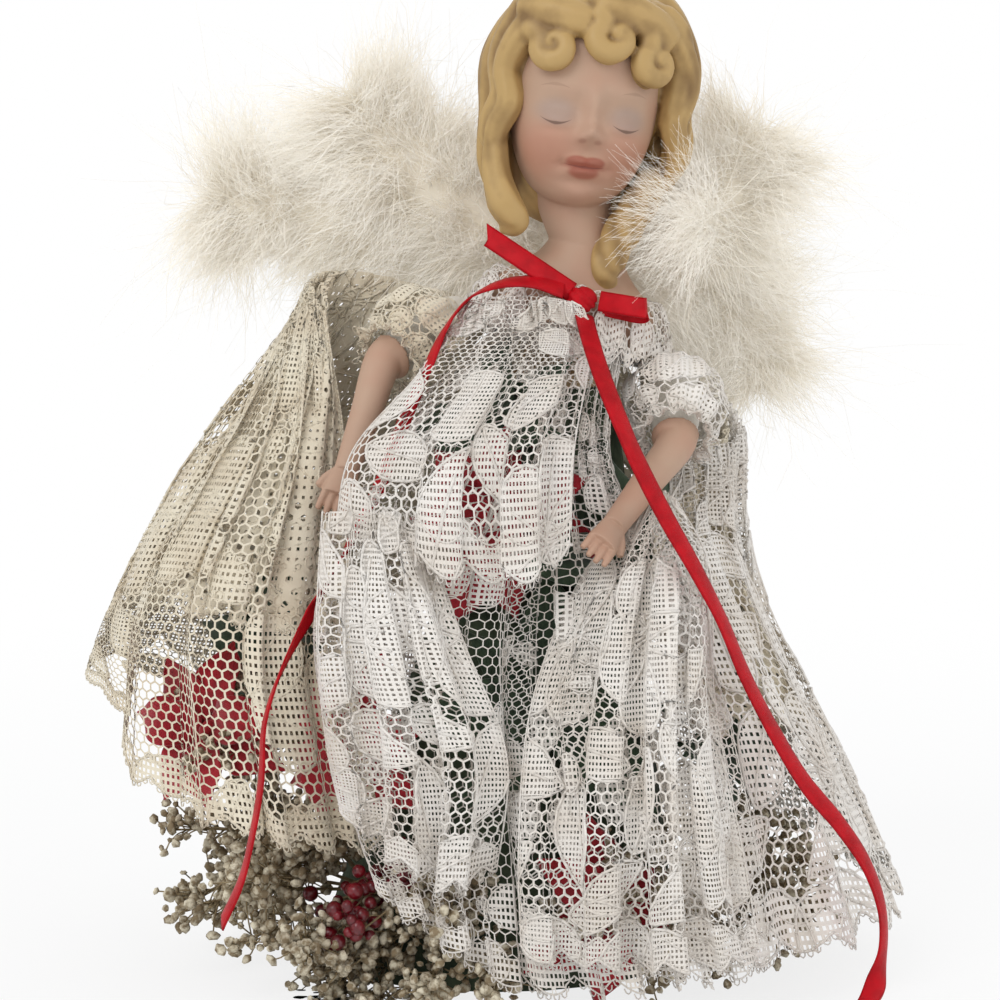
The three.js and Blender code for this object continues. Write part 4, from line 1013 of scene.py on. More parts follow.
@dataclass
class Drape:
    """A piece of lace as it hangs: a surface with a flat pattern laid on it."""

    name: str
    pattern: LacePattern
    finish: Finish
    loose: float = 1.2
    width: float = 0
    height: float = 0
    places: Array | None = None

    def surface(self, u: Array, t: Array) -> Array:
        """Points of the hanging cloth for shares across and down."""
        raise NotImplementedError

    def measure(self, level: float = 0.82) -> None:
        """Finds the flat width and height from the arc lengths, and spaces the pattern evenly across."""
        u = shares(1200)
        run = np.linalg.norm(diff(self.surface(u, np.full_like(u, level)), axis=0), axis=1)
        total = concatenate([[0], cumsum(run)])
        self.width = float(total[-1])
        self.places = total / total[-1]
        t = shares(200)
        lines = [self.surface(np.full_like(t, v), t) for v in (0.25, 0.5, 0.75)]
        falls = [np.linalg.norm(diff(line, axis=0), axis=1).sum() for line in lines]
        self.height = float(np.mean(falls))

    def lay(self, flat: Array) -> tuple[Array, Array]:
        """Points and outward normals of the cloth at flat places in millimetres."""
        u = interp(flat[:, 0] / self.width, self.places, shares(len(self.places)))
        t = clip(flat[:, 1] / (self.height + self.loose), 0, 1)
        step = 2e-3
        point = self.surface(u, t)
        du = self.surface(minimum(u + step, 1), t) - self.surface(maximum(u - step, 0), t)
        dt = self.surface(u, minimum(t + step, 1)) - self.surface(u, maximum(t - step, 0))
        return point, unit(cross(dt, du))

    def cells(self, centres: Array, corners: Array, share: float, lift: float, drop: float) -> Shape:
        """Open cells: each is a frame of threads between its corners and the same corners drawn inwards.

        Args:
            centres: (C, 2) flat places.
            corners: (n, 2) offsets of the corners.
            share: Share of each offset at which the hole's corners lie.
            lift: Height of the threads' ridges off the cloth.
            drop: Depth of the hole's edge under the ridges.

        Returns:
            The frames, which share their outer corners.
        """
        if not len(centres):
            return Shape(zeros((0, 3)))
        count, sides = len(centres), len(corners)
        grain = 0.02
        keys = np.round((centres[:, None] + corners[None]) / grain).astype(np.int64).reshape(-1, 2)
        flat, index = np.unique(keys, axis=0, return_inverse=True)
        index = index.reshape(count, sides)
        points, normals = self.lay(flat * grain)
        outer, outer_normals = points[index], normals[index]
        middle = outer.mean(axis=1, keepdims=True)
        inner = middle + (outer - middle) * share + outer_normals.mean(axis=1, keepdims=True) * (lift - drop)
        after = np.roll(index, -1, axis=1)
        hole = len(points) + arange(count * sides).reshape(count, sides)
        quads = stack([index, after, np.roll(hole, -1, axis=1), hole], axis=-1).reshape(-1, 4)
        tone = concatenate([zeros(len(points)), np.ones(count * sides)])
        return Shape(concatenate([points + normals * lift, inner.reshape(-1, 3)]), quads, tone=tone)

    def cord_along(self, starts: Array, stops: Array, radius: float) -> Shape:
        """Cords between pairs of flat places, as short tubes that lie on the cloth."""
        ends, normals = self.lay(concatenate([starts, stops]))
        count = len(starts)
        paths = stack([ends[:count], ends[count:]], axis=1)
        facing = stack([normals[:count], normals[count:]], axis=1)
        reach = (paths[:, 1:] - paths[:, :1]) * 0.06
        paths = paths + concatenate([-reach, reach], axis=1) + facing * radius * 0.5
        return tubes(paths, radius, 4, facing)

    def shape(self) -> Shape:
        """Net, clothwork, outlines, hem and edges of the whole piece."""
        lace, width, height = self.pattern, self.width, self.height
        table = lace.laid_out(width, height)
        side = lace.mesh / math.sqrt(3)
        turn = arange(6) * FULL / 6 + FULL / 12
        hexagon = side * stack([cos(turn), sin(turn)], axis=1)
        rows, columns = grid(int(height / (1.5 * side)) + 1, int(width / lace.mesh) + 1)
        across = (columns + 0.5 * (rows % 2) + 0.25) * lace.mesh
        centres = stack([across, (rows + 0.5) * 1.5 * side], axis=-1).reshape(-1, 2)
        hem = lace.hem_line(centres[:, 0], height)
        keep = (centres[:, 0] < width - 0.6) & (centres[:, 1] < hem - lace.hem_band + 1.2)
        net = centres[keep & ~lace.within(centres, table, -1)]
        wide, tall = lace.weave
        rows, columns = grid(int(height / tall) + 1, int(width / wide))
        spots = stack([(columns + 0.5) * wide, (rows + 0.5) * tall], axis=-1).reshape(-1, 2)
        hem = lace.hem_line(spots[:, 0], height)
        band = (spots[:, 1] > hem - lace.hem_band) & (spots[:, 1] < hem - tall / 3)
        cloth = spots[(lace.within(spots, table, -0.1) & (spots[:, 1] < hem)) | band]
        square = array([[-wide, -tall], [wide, -tall], [wide, tall], [-wide, tall]]) / 2
        return joined([
            self.cells(net, hexagon, 1 - lace.mesh_thread / (lace.mesh / 2), 0, 0.14),
            self.cells(cloth, square, lace.weave_hole, 0.08, 0.1), self.outlines(table), self.hem(),
        ])

    def outlines(self, table: Array) -> Shape:
        """Thick cord round each figure, and a vein from its foot: ovals that taper to one end."""
        steps = 20
        angle = linspace(0, FULL, steps + 1)
        x, y, length, width, turn, taper = (table[:, k, None] for k in range(6))
        u = length * cos(angle)
        point = 1 + 2 * maximum(taper, 0)
        v = width * sign(sin(angle)) * abs(sin(angle)) ** point * (1 - taper * cos(angle))
        ring = stack([x + u * cos(turn) - v * sin(turn), y + u * sin(turn) + v * cos(turn)], axis=-1)
        share = linspace(-0.9, 0.55, 7)
        vein = stack([x + length * share * cos(turn), y + length * share * sin(turn)], axis=-1)
        starts = concatenate([ring[:, :-1].reshape(-1, 2), vein[:, :-1].reshape(-1, 2)])
        stops = concatenate([ring[:, 1:].reshape(-1, 2), vein[:, 1:].reshape(-1, 2)])
        middle = (starts + stops) / 2
        x, y = middle.T
        keep = (x > 0.3) & (x < self.width - 0.3) & (y > 0.3) & (y < self.pattern.hem_line(x, self.height))
        return self.cord_along(starts[keep], stops[keep], self.pattern.cord)

    def hem(self) -> Shape:
        """Cord along the hem, a thinner one over its band and down both edges, and a row of small loops."""
        lace = self.pattern
        across = arange(0, self.width, 0.7)
        line = stack([across, lace.hem_line(across, self.height)], axis=1)
        upper = line - array([0, lace.hem_band])
        down = arange(0, self.height - lace.scallop_depth, 1.2)
        edges = [stack([np.full_like(down, x), down], axis=1) for x in (0.2, self.width - 0.2)]
        thick = self.cord_along(line[:-1], line[1:], lace.cord)
        thin = [self.cord_along(run[:-1], run[1:], lace.cord * 0.7) for run in (upper, *edges)]
        spots = arange(0.8, self.width - 0.8, 1.35)
        turn = linspace(0, np.pi, 5)
        loops = stack([
            spots[:, None] + 0.5 * cos(turn),
            lace.hem_line(spots, self.height)[:, None] + 0.1 + 0.75 * sin(turn),
        ], axis=-1)
        points, normals = self.lay(loops.reshape(-1, 2))
        picots = tubes(points.reshape(*loops.shape[:2], 3), 0.13, 3, normals.reshape(*loops.shape[:2], 3))
        return joined([thick, *thin, picots])

    def hang(
        self, slot: Slot, node: str, base: str = "bisque head and shoulders", body: Body = Body.FIGURE,
    ) -> None:
        self.measure()
        shape = self.shape()
        piece = make_object(self.name, shape, self.finish)
        settle(piece, node, body)


@dataclass
class Panel(Drape):
    """A dress panel: a loft through guide rows with soft pleats, gathered at the neck."""

    guides: list = field(default_factory=list)
    folds: int = 4
    depth: float = 1.4
    gathers: int = 16
    phase: float = 0
    overhang: float = 1.5
    sink: float = 0

    def surface(self, u: Array, t: Array) -> Array:
        """Loft point pushed out by pleats whose crests lean over: sines across that grow downwards."""
        rows = stack([follow(array([FIGURE.guide(g) for g in row]), u, even=True) for row in self.guides])
        point = follow(rows, t)
        away = unit(stack([point[:, 0] - FIGURE.cone_lean * (1 - t), point[:, 1], 0 * u], axis=1))
        beside = cross(away, UP)
        edge = sqrt(sin(np.pi * clip(u, 0, 1)))
        swing = self.folds * FULL * u + 0.7 * sin(2.6 * t + self.phase) * sin(np.pi * u)
        wave = sin(swing) + 0.22 * sin(2 * swing + 1)
        fine = 0.5 * sin((2.6 * self.folds) * FULL * u + 2.5 * t + self.phase) * smooth(0.12, 0.5, t)
        ripple = 0.5 * sin(9 * t + 7 * u + self.phase) * smooth(0.1, 0.4, t)
        gather = 0.7 * sin(self.gathers * FULL * u) * (1 - smooth(0.08, 0.42, t))
        push = self.depth * 1.3 * wave * sqrt(t) + fine + ripple + gather - self.sink
        lean = self.overhang * sin(2 * swing + 0.6 * sin(5 * t + self.phase)) * smooth(0, 0.35, t)
        return point + away * (edge * push)[:, None] + beside * (edge * lean)[:, None]


FRONT_RIGHT = [
    [-38, -28, -18, -8, 2],
    [[-290, -500, 760], [-220, -500, 770], [-90, -470, 770], [50, -440, 760], [150, -380, 760]],
    [[-420, -740, 550], [-340, -780, 560], [-200, -740, 570], [-50, -660, 560], [100, -500, 540]],
    [[-380, -730, 360], [-310, -840, 340], [-180, -840, 330], [-50, -780, 320], [100, -660, 320]],
    [[-270, -830, 170], [-200, -880, 140], [-110, -880, 100], [-10, -880, 50], [120, -860, 20]],
]
FRONT_LEFT = [
    [6, 14, 22, 30, 38],
    [[90, -380, 750], [150, -360, 760], [210, -330, 760], [250, -320, 750], [280, -310, 740]],
    [[20, -520, 540], [140, -580, 560], [270, -610, 560], [380, -580, 550], [470, -520, 540]],
    [[20, -720, 320], [150, -850, 330], [300, -880, 330], [440, -840, 330], [570, -720, 330]],
    [[80, -880, 30], [240, -940, 30], [400, -960, 50], [540, -900, 50], [650, -800, 60]],
]
CAPE = [
    [[-430, -80, 955], [-460, -10, 985], [-460, 70, 1000], [-370, 160, 1010], -136],
    [[-375, -190, 760], [-500, -260, 770], [-630, -150, 765], [-720, 100, 750], [-280, 420, 750]],
    [[-350, -420, 500], [-580, -600, 510], [-810, -420, 530], [-950, 70, 510], [-570, 620, 510]],
    [[-260, -640, 200], [-510, -820, 230], [-810, -620, 290], [-1000, 100, 430], [-700, 660, 290]],
]
SIDE = [
    [[370, -60, 720], [500, -20, 750], [610, 60, 770], [560, 170, 830], 128],
    [[380, -360, 600], [520, -310, 600], [620, 0, 590], [580, 270, 640], [420, 430, 690]],
    [[460, -680, 370], [700, -500, 360], [820, 0, 320], [770, 360, 340], [600, 640, 390]],
    [[560, -800, 50], [840, -600, 70], [1000, 0, 70], [900, 500, 110], [680, 780, 130]],
]
APRON = [
    [[-85, -220, 967], [-41, -259, 975], [41, -276, 980], [124, -267, 977], [207, -224, 968]],
    [[-130, -290, 920], [-65, -336, 921], [31, -362, 921], [133, -345, 921], [230, -284, 920]],
    [[-197, -353, 864], [-112, -431, 866], [-7, -466, 867], [107, -448, 866], [214, -362, 864]],
    [[-347, -534, 761], [-227, -621, 764], [-91, -655, 766], [49, -638, 765], [182, -534, 761]],
    [[-379, -655, 656], [-242, -759, 616], [-89, -793, 585], [53, -776, 579], [175, -647, 618]],
]
FLOUNCE = [
    [[365, -380, 685], [380, -410, 700], [395, -420, 708], [410, -410, 702], [435, -380, 687]],
    [[225, -500, 610], [302, -603, 616], [373, -638, 617], [447, -603, 616], [500, -500, 610]],
    [[85, -724, 434], [236, -793, 439], [349, -828, 441], [447, -793, 439], [510, -655, 428]],
    [[50, -880, 246], [209, -966, 253], [354, -983, 254], [468, -948, 251], [565, -810, 237]],
    [[56, -931, 87], [208, -983, 77], [365, -1000, 71], [505, -974, 76], [609, -862, 79]],
]
LOBE = [
    [[-409, -621, 686], [-341, -690, 689], [-284, -716, 690], [-234, -690, 689], [-185, -586, 684]],
    [[-415, -793, 520], [-330, -862, 525], [-247, -888, 526], [-170, -862, 525], [-80, -740, 516]],
    [[-384, -862, 363], [-286, -931, 369], [-186, -957, 371], [-85, -922, 369], [25, -810, 358]],
    [[-352, -862, 285], [-264, -931, 241], [-180, -966, 200], [-100, -931, 172], [0, -810, 190]],
]
BACK = [
    [-146, -162, 178, 146],
    [[-330, 440, 750], [-80, 600, 740], [200, 600, 720], [460, 450, 690]],
    [[-630, 620, 500], [-240, 900, 460], [240, 900, 420], [640, 640, 390]],
    [[-770, 660, 280], [-300, 960, 190], [260, 960, 130], [740, 760, 110]],
]


@dataclass
class Frill(Drape):
    """The gathered neckline: a ruffled band round the neck that rolls over outwards."""

    reach: float = 7
    ruffles: int = 26

    def surface(self, u: Array, t: Array) -> Array:
        """Ring that grows, less so toward the sleeves, first rises and then falls, with waves that grow."""
        angle = FULL * u
        wave = sin(self.ruffles * angle + 0.8 * sin(3 * angle)) * (0.25 + 0.75 * t)
        radius = FIGURE.collar_half_width + 0.4 + self.reach * t * (1 - 0.16 * sin(angle) ** 2)
        lift = FIGURE.plate_lift + FIGURE.collar_rise + 1.9 - 15 * maximum(t - 0.12, 0) ** 1.6
        radius = radius + 0.5 * wave
        lift = lift + (1.9 + 0.6 * sin(angle)) * t * sin(angle) ** 2
        x, y = radius * sin(angle), -radius * FIGURE.plate_depth_share * cos(angle)
        return FIGURE.on_torso(stack([x, y, lift + 0.9 * wave], axis=1))


@dataclass
class Sleeve(Drape):
    """A gathered puff round the upper arm, drawn in at both ends, with a short frill over the elbow."""

    side: int = 1
    elbow: Triple = (0, 0, 0)
    inner: float = 4.9
    bulge: float = 3.9
    ruffles: int = 13

    def surface(self, u: Array, t: Array) -> Array:
        """Tube about the arm's line: its radius swells between the ends and ripples round."""
        shoulder = FIGURE.shoulder(self.side)
        elbow = array(self.elbow)
        along = unit(elbow - shoulder)
        across = unit(BACKWARD - along[1] * along)
        rise = cross(along, across)
        start = shoulder + along * 1.4
        length = np.linalg.norm(elbow - start) + 2.2
        angle = -FULL * u
        puff = sin(np.pi * clip(t / 0.84, 0, 1)) ** 0.7
        flare = smooth(0.84, 1, t) * 2.2
        wave = sin(self.ruffles * angle + 0.9 * sin(2 * angle)) * (0.35 + 0.3 * puff + 0.5 * flare)
        radius = self.inner + self.bulge * puff + flare + 0.7 * wave
        direction = across * cos(angle)[:, None] + rise * sin(angle)[:, None]
        return start + along * (length * t)[:, None] + direction * radius[:, None]


def fused(name: str, shape: Shape, finish: Finish, voxel: float, rounds: int) -> Thing:
    """Shells melted into one skin: a voxel remesh, then smoothing; tone keeps how hollow each spot is, which
    the hair's finish paints as shade.

    Args:
        name: Name of the piece.
        shape: Closed shells that overlap.
        finish: Finish of the piece.
        voxel: Voxel size in millimetres.
        rounds: Rounds of smoothing.

    Returns:
        The piece, whose tone is the blurred mean of the neighbours' heights over each point's own.
    """
    piece = make_object(name, Shape(shape.points, shape.quads, shape.triangles), finish)
    remesh = piece.modifiers.new("melt", "REMESH")
    remesh.mode = "VOXEL"
    remesh.voxel_size = voxel * MM * 1
    remesh.use_smooth_shade = True
    ease = piece.modifiers.new("ease", "SMOOTH")
    ease.iterations = rounds
    ease.factor = 0.5
    mesh = evaluated(piece)
    count = len(mesh.vertices)

    def column(items: bpy.types.bpy_prop_collection, key: str, width: int, kind: type) -> Array:
        """One attribute of all the items, a row for each."""
        values = np.empty(len(items) * width, kind)
        items.foreach_get(key, values)
        return values.reshape(-1, width)

    points = column(mesh.vertices, "co", 3, np.float32) / MM
    normals = column(mesh.vertices, "normal", 3, np.float32)
    a, b = column(mesh.edges, "vertices", 2, np.int32).T
    around = maximum(np.bincount(a, minlength=count) + np.bincount(b, minlength=count), 1)

    def blurred(values: Array) -> Array:
        """Mean of each point's neighbours."""
        return (np.bincount(a, values[b], count) + np.bincount(b, values[a], count)) / around

    soft = points.T.astype(float)
    for _ in range(5):
        soft = stack([blurred(axis) for axis in soft])
    # How hollow each spot is; the hair's finish turns it into painted shade in its grooves.
    hollow = np.sum((soft.T - points) * normals, axis=1)
    for _ in range(2):
        hollow = blurred(hollow)
    layer = mesh.attributes.get("tone") or mesh.attributes.new("tone", "FLOAT", "POINT")
    layer.data.foreach_set("value", clip(hollow / 0.22, -1, 1).astype(np.float32))
    mesh.polygons.foreach_set("use_smooth", np.ones(len(mesh.polygons), bool))
    if not mesh.materials:
        mesh.materials.append(finish.material())
    return piece


def roll(route: list, radii: list[float], strands: float, twist: float, depth: float) -> Shape:
    """A moulded lock: a round section whose edge is ribbed by strands that twist along it.

    Args:
        route: Points of the middle line.
        radii: Radii at even steps along it.
        strands: Number of strands round it.
        twist: Turns of the strands from end to end.
        depth: Depth of the grooves between strands, as a share of the radius.

    Returns:
        The closed lock.
    """
    steps = 90
    t = shares(steps)
    path = follow(array(route, float), t)
    radius = interp(t, shares(len(radii)), radii)
    radius = radius * sqrt(minimum(1, 0.06 + 9 * minimum(t, 1 - t)))
    around = circle(40)
    ribs = 1 - depth * (1 - abs(sin(strands / 2 * around[None] + twist * FULL * t[:, None])))
    along = unit(gradient(path, axis=0))
    up = unit(cross(along, array([0.31, -0.93, 0.2])))
    side = cross(along, up)
    size = radius[:, None] * ribs
    rings = path[:, None] + size[..., None] * (
        cos(around)[None, :, None] * up[:, None] + sin(around)[None, :, None] * side[:, None]
    )
    return skin(rings)


def curl(
    centre: tuple, radius: float, turns: float = 1.35, start: float = 110, eye: tuple = (0, 0),
    root: tuple | None = None,
) -> Shape:
    """A fat curl on the head: a lock wound as a spiral, whose middle drifts to an eye and stands proud.

    Args:
        centre: Middle of the outer turn in the head's frame.
        radius: Outer radius.
        turns: Number of turns.
        start: Angle in degrees at which the outer turn begins, from +X towards +Z.
        eye: How far the inner end lies from the middle, across and up.
        root: Point of the hair that the lock comes from, where it shows.

    Returns:
        The closed curl.
    """
    middle = array(centre, float)
    outward = unit(middle * array([1, 1.3, 0.8]))
    across = unit(cross(UP, outward))
    rise = cross(outward, across)
    t = shares(26)
    angle = radians(start) + turns * FULL * t
    reach = radius * (0.56 - 0.46 * t)
    route = middle + reach[:, None] * (cos(angle)[:, None] * across + sin(angle)[:, None] * rise)
    route = route + (t**1.5)[:, None] * (eye[0] * across + eye[1] * rise)
    route = route + outward * (radius * 0.3 * t**1.4)[:, None]
    thick = 0.44
    radii = radius * (thick - 0.2 * t)
    if root:
        lead = array(root, float) + (route[0] - array(root, float)) * linspace(0, 0.9, 9)[:, None]
        lead = lead + outward * (0.5 * sin(np.pi * linspace(0, 0.9, 9)))[:, None]
        route, radii = concatenate([lead, route]), concatenate([np.full(9, radius * thick), radii])
    ball = skin(globe(20, 12, 0.05)[2] * radius * 0.66 + middle - outward * radius * 0.5)
    return joined([roll(list(route), list(radii), 5, 0.15, 0.05), ball])


@dataclass(frozen=True)
class Head:
    """Bisque head, neck and shoulder plate, with painted hair moulded in curls and waves."""

    half_width: float = 12.4
    front_depth: float = 12.6
    back_depth: float = 13
    half_height: float = 17.9
    neck_radius: float = 6.2
    mounds: tuple[tuple[float, ...], ...] = (
        (0, 7, 7, 5, 0.5), (5.6, 1, 4.2, 1.8, 0.45), (5.9, -3.2, 3.6, 2.4, -1.4),
        (5.9, -4.1, 2.9, 1.9, 1.5), (5.9, -6.3, 3, 0.7, -0.3), (2.5, -2.4, 1.1, 2.6, -0.5),
        (0, -2.4, 1.3, 3.6, 1.15), (0, -6.2, 1.5, 1.55, 2.2), (1.65, -7, 1, 0.95, 0.85),
        (0, -9.2, 0.8, 1, -0.35), (1.25, -10.9, 1.9, 0.85, 0.85), (0, -12.6, 2.4, 0.95, 1.15),
        (0, -11.75, 3.6, 0.32, -0.5), (3.9, -11.7, 0.8, 1, -0.55), (0, -14.3, 2.8, 0.8, -0.5),
        (7.3, -8.8, 4.4, 4.6, 1.2), (0, -16.6, 3, 2, 1.35), (11, -2, 2.2, 5, -0.6),
    )

    def face(self) -> Shape:
        """Egg-shaped head: ovals whose size follows the height, with round mounds and hollows in front."""
        columns, rows = 250, 210
        around = circle(columns)
        down = linspace(0.03, np.pi - 0.03, rows)
        a, d = meshgrid(around, down)
        level = cos(d)
        full = sin(d) ** (0.86 - 0.2 * smooth(-0.1, 0.5, -level))
        narrow = 1 - 0.05 * smooth(0.05, 0.95, -level)
        x = self.half_width * full * narrow * sin(a)
        z = self.half_height * level - 0.6 * smooth(0.4, 1, -level) * cos(a)
        front = cos(a) > 0
        deep = np.where(front, self.front_depth * (1 - 0.12 * smooth(0.3, 1, -level)), self.back_depth)
        y = -deep * full * sign(cos(a)) * abs(cos(a)) ** np.where(front, 0.82, 1)
        raised = np.zeros_like(x)
        for centre, height, half_x, half_z, lift in self.mounds:
            for side in (-1, 1) if centre else (1,):
                reach = ((x - side * centre) / half_x) ** 2 + ((z - height) / half_z) ** 2
                raised += lift * exp(-reach)
        y = y - raised * smooth(0.05, 0.4, cos(a))
        return skin(stack([x, y, z], axis=-1)[::-1, :])

    def bust(self) -> Shape:
        """Shoulder plate and neck: ovals that shrink from the plate's rim to a round neck."""
        figure = FIGURE
        width, share, lift = figure.plate_half_width, figure.plate_depth_share, figure.plate_lift
        rim = [
            (0.96, 0), (1, 0.4), (1, 2), (0.98, 4), (0.93, 6), (0.85, 7.8), (0.74, 9.5), (0.62, 11),
            (0.51, 12.8), (0.43, 15),
        ]
        steps = shares(60)
        table = follow(array([(r, 0, h) for r, h in rim]), steps)
        size, height = table[:, 0] * width, table[:, 2] + lift
        round_share = 1 - smooth(0.4, 0.85, table[:, 0])
        depth = size * (share + (1 - share) * round_share)
        angle = circle(96)
        ring = stack([
            size[:, None] * cos(angle)[None], depth[:, None] * sin(angle)[None],
            np.repeat(height[:, None], len(angle), axis=1),
        ], axis=-1)
        rings = figure.on_torso(ring.reshape(-1, 3)).reshape(ring.shape)
        top = figure.on_torso([0, 0, rim[-1][1] + lift])
        base = figure.on_head(array([[0, 3.2, -10]]))[0]
        t = linspace(0.02, 1, 26)
        middle = follow(array([top, (top + base) / 2 + [-1.2, 0.4, 0], base + [-1, 0, 0]]), t)
        radius = self.neck_radius * (1 + 0.14 * t)
        flat = stack([cos(angle), sin(angle), 0 * angle], axis=1)
        neck = middle[:, None] + radius[:, None, None] * turned(flat, 10)[None]
        return skin(concatenate([rings, neck]))

    def locks(self) -> list[Shape]:
        """The hair: a cap with long waves, side locks and forehead curls, in the head's frame."""
        around, down, ray = globe(220, 130, 0.03)
        ray = ray[..., [1, 0, 2]] * [1, -1, -1]
        wave = abs(sin(13 * around + 1.6 * sin(4.2 * down))) * sin(down)
        cap = ray * array([15.6, 13.6, 15.6]) * (1 + 0.035 * wave)[..., None] + array([0, 4.4, 2.8])
        nape = ray * array([13, 8.6, 13]) * (1 + 0.03 * wave)[..., None] + array([0, 7.2, -9])
        shapes = [skin(cap[::-1]), skin(nape[::-1])]
        routes = [
            ([(2, 3, 18), (9, -1, 16), (13.4, -2.2, 10), (15.2, -1.4, 4.5), (14.1, -2.4, -1.2),
              (15.4, -1.2, -6.6), (14, -1.4, -12)], [2.6, 3.6, 3.3, 2.8, 3, 2.7, 2.7]),
            ([(2, 8, 17.5), (10, 6, 13), (14.4, 5, 5), (13.8, 5, -4), (13.4, 4, -12), (11, 4, -19)],
             [3, 3.8, 4, 3.8, 3.6, 2.6]),
            ([(3, -5, 16.5), (9, -7, 13.5), (13.5, -6, 8), (15.1, -4.4, 3), (13.7, -5, -2.6),
              (15.2, -3.6, -8), (14, -3.6, -14)], [2.4, 3, 2.7, 2.2, 2.4, 2.1, 1.2]),
            ([(1, 11, 15), (6, 13, 6), (8, 13, -4), (7, 12, -13), (6, 10, -20)], [3.2, 4, 4, 3.6, 2.6]),
        ]
        for side, wide in ((-1, 0.95), (1, 1.08)):
            for route, radii in routes:
                points = [(side * x * wide, y, z) for x, y, z in route]
                shapes.append(roll(points, radii, 8, side * 0.35, 0.1))
        for route, radii, strands, twist, depth in (
            ([(-14.4, -1, -2), (-14.2, -3, -9), (-13.6, -4, -14.5), (-11.8, -4.8, -19), (-9.6, -4.6, -22),
              (-11.6, -3.4, -24)], [1.6, 2.1, 2.5, 3, 2.7, 1.5], 5, 0.7, 0.13),
            ([(14, 0, -10), (12, -2, -15), (9.2, -3.6, -20.5), (7.2, -4.4, -25.5), (6.6, -4.6, -29),
              (8.8, -4.2, -31)], [2.8, 3.2, 3.3, 3.2, 2.7, 1.6], 4, 2.6, 0.16),
            ([(-13, -4, 12.4), (-9, -8.4, 12.6), (-5, -10.6, 12), (-1.6, -11.6, 11.4)],
             [3.2, 3.4, 3.2, 2.6], 7, 0.2, 0.07),
            ([(-2.5, -10, 14.6), (2.5, -10.8, 14.4), (7.6, -9.8, 12.6), (12, -6.8, 10)],
             [3, 3.4, 3.5, 3.2], 7, 0.2, 0.07),
            ([(8, -7.6, 16), (12.6, -6.4, 12), (14.6, -5.2, 6), (14.4, -4.8, 0), (14, -3.8, -5)],
             [2.4, 2.8, 2.6, 2.3, 2], 7, 0.3, 0.09),
        ):
            shapes.append(roll(route, radii, strands, twist, depth))
        for centre, radius, turns, start, eye, root in (
            ((-7.4, -11.2, 6.7), 5, 1.3, 140, (0.3, 0.7), (-12.6, -6.6, 10.4)),
            ((1, -13, 8.8), 5, 1.35, 110, (2.6, 1), (-1.4, -11, 14.4)),
            ((8.9, -11.2, 5.8), 4.8, 1.35, 110, (1.9, 1.1), (7.4, -10.2, 13.4)),
            ((-4.9, -9.8, 14.4), 3.2, 1.3, 200, (0, 0), None),
            ((6.6, -9.4, 15), 3, 1.2, 60, (0.8, 0), None), ((-11.8, -6, 14.4), 3.4, 1.3, 60, (0, 0), None),
            ((12.6, -5.6, 12.8), 3.2, 1.3, 100, (0, 0), None), ((-3.5, -4, 17.6), 3.4, 1.3, 60, (0, 0), None),
        ):
            shapes.append(curl(centre, radius, turns, start, eye, root))
        return shapes

    def build(self) -> None:
        """Makes the skin and the hair."""
        face = self.face()
        face.points = FIGURE.on_head(face.points)
        hair = joined(self.locks())
        hair.points = FIGURE.on_head(hair.points)
        for name, shape, finish, voxel in (
            ("bisque head and shoulders", joined([face, self.bust()]), BISQUE_FACE, 0.31),
            ("moulded hair", hair, HAIR_PAINT, 0.4),
        ):
            settle(fused(name, shape, finish, voxel, 2), "head_casting")


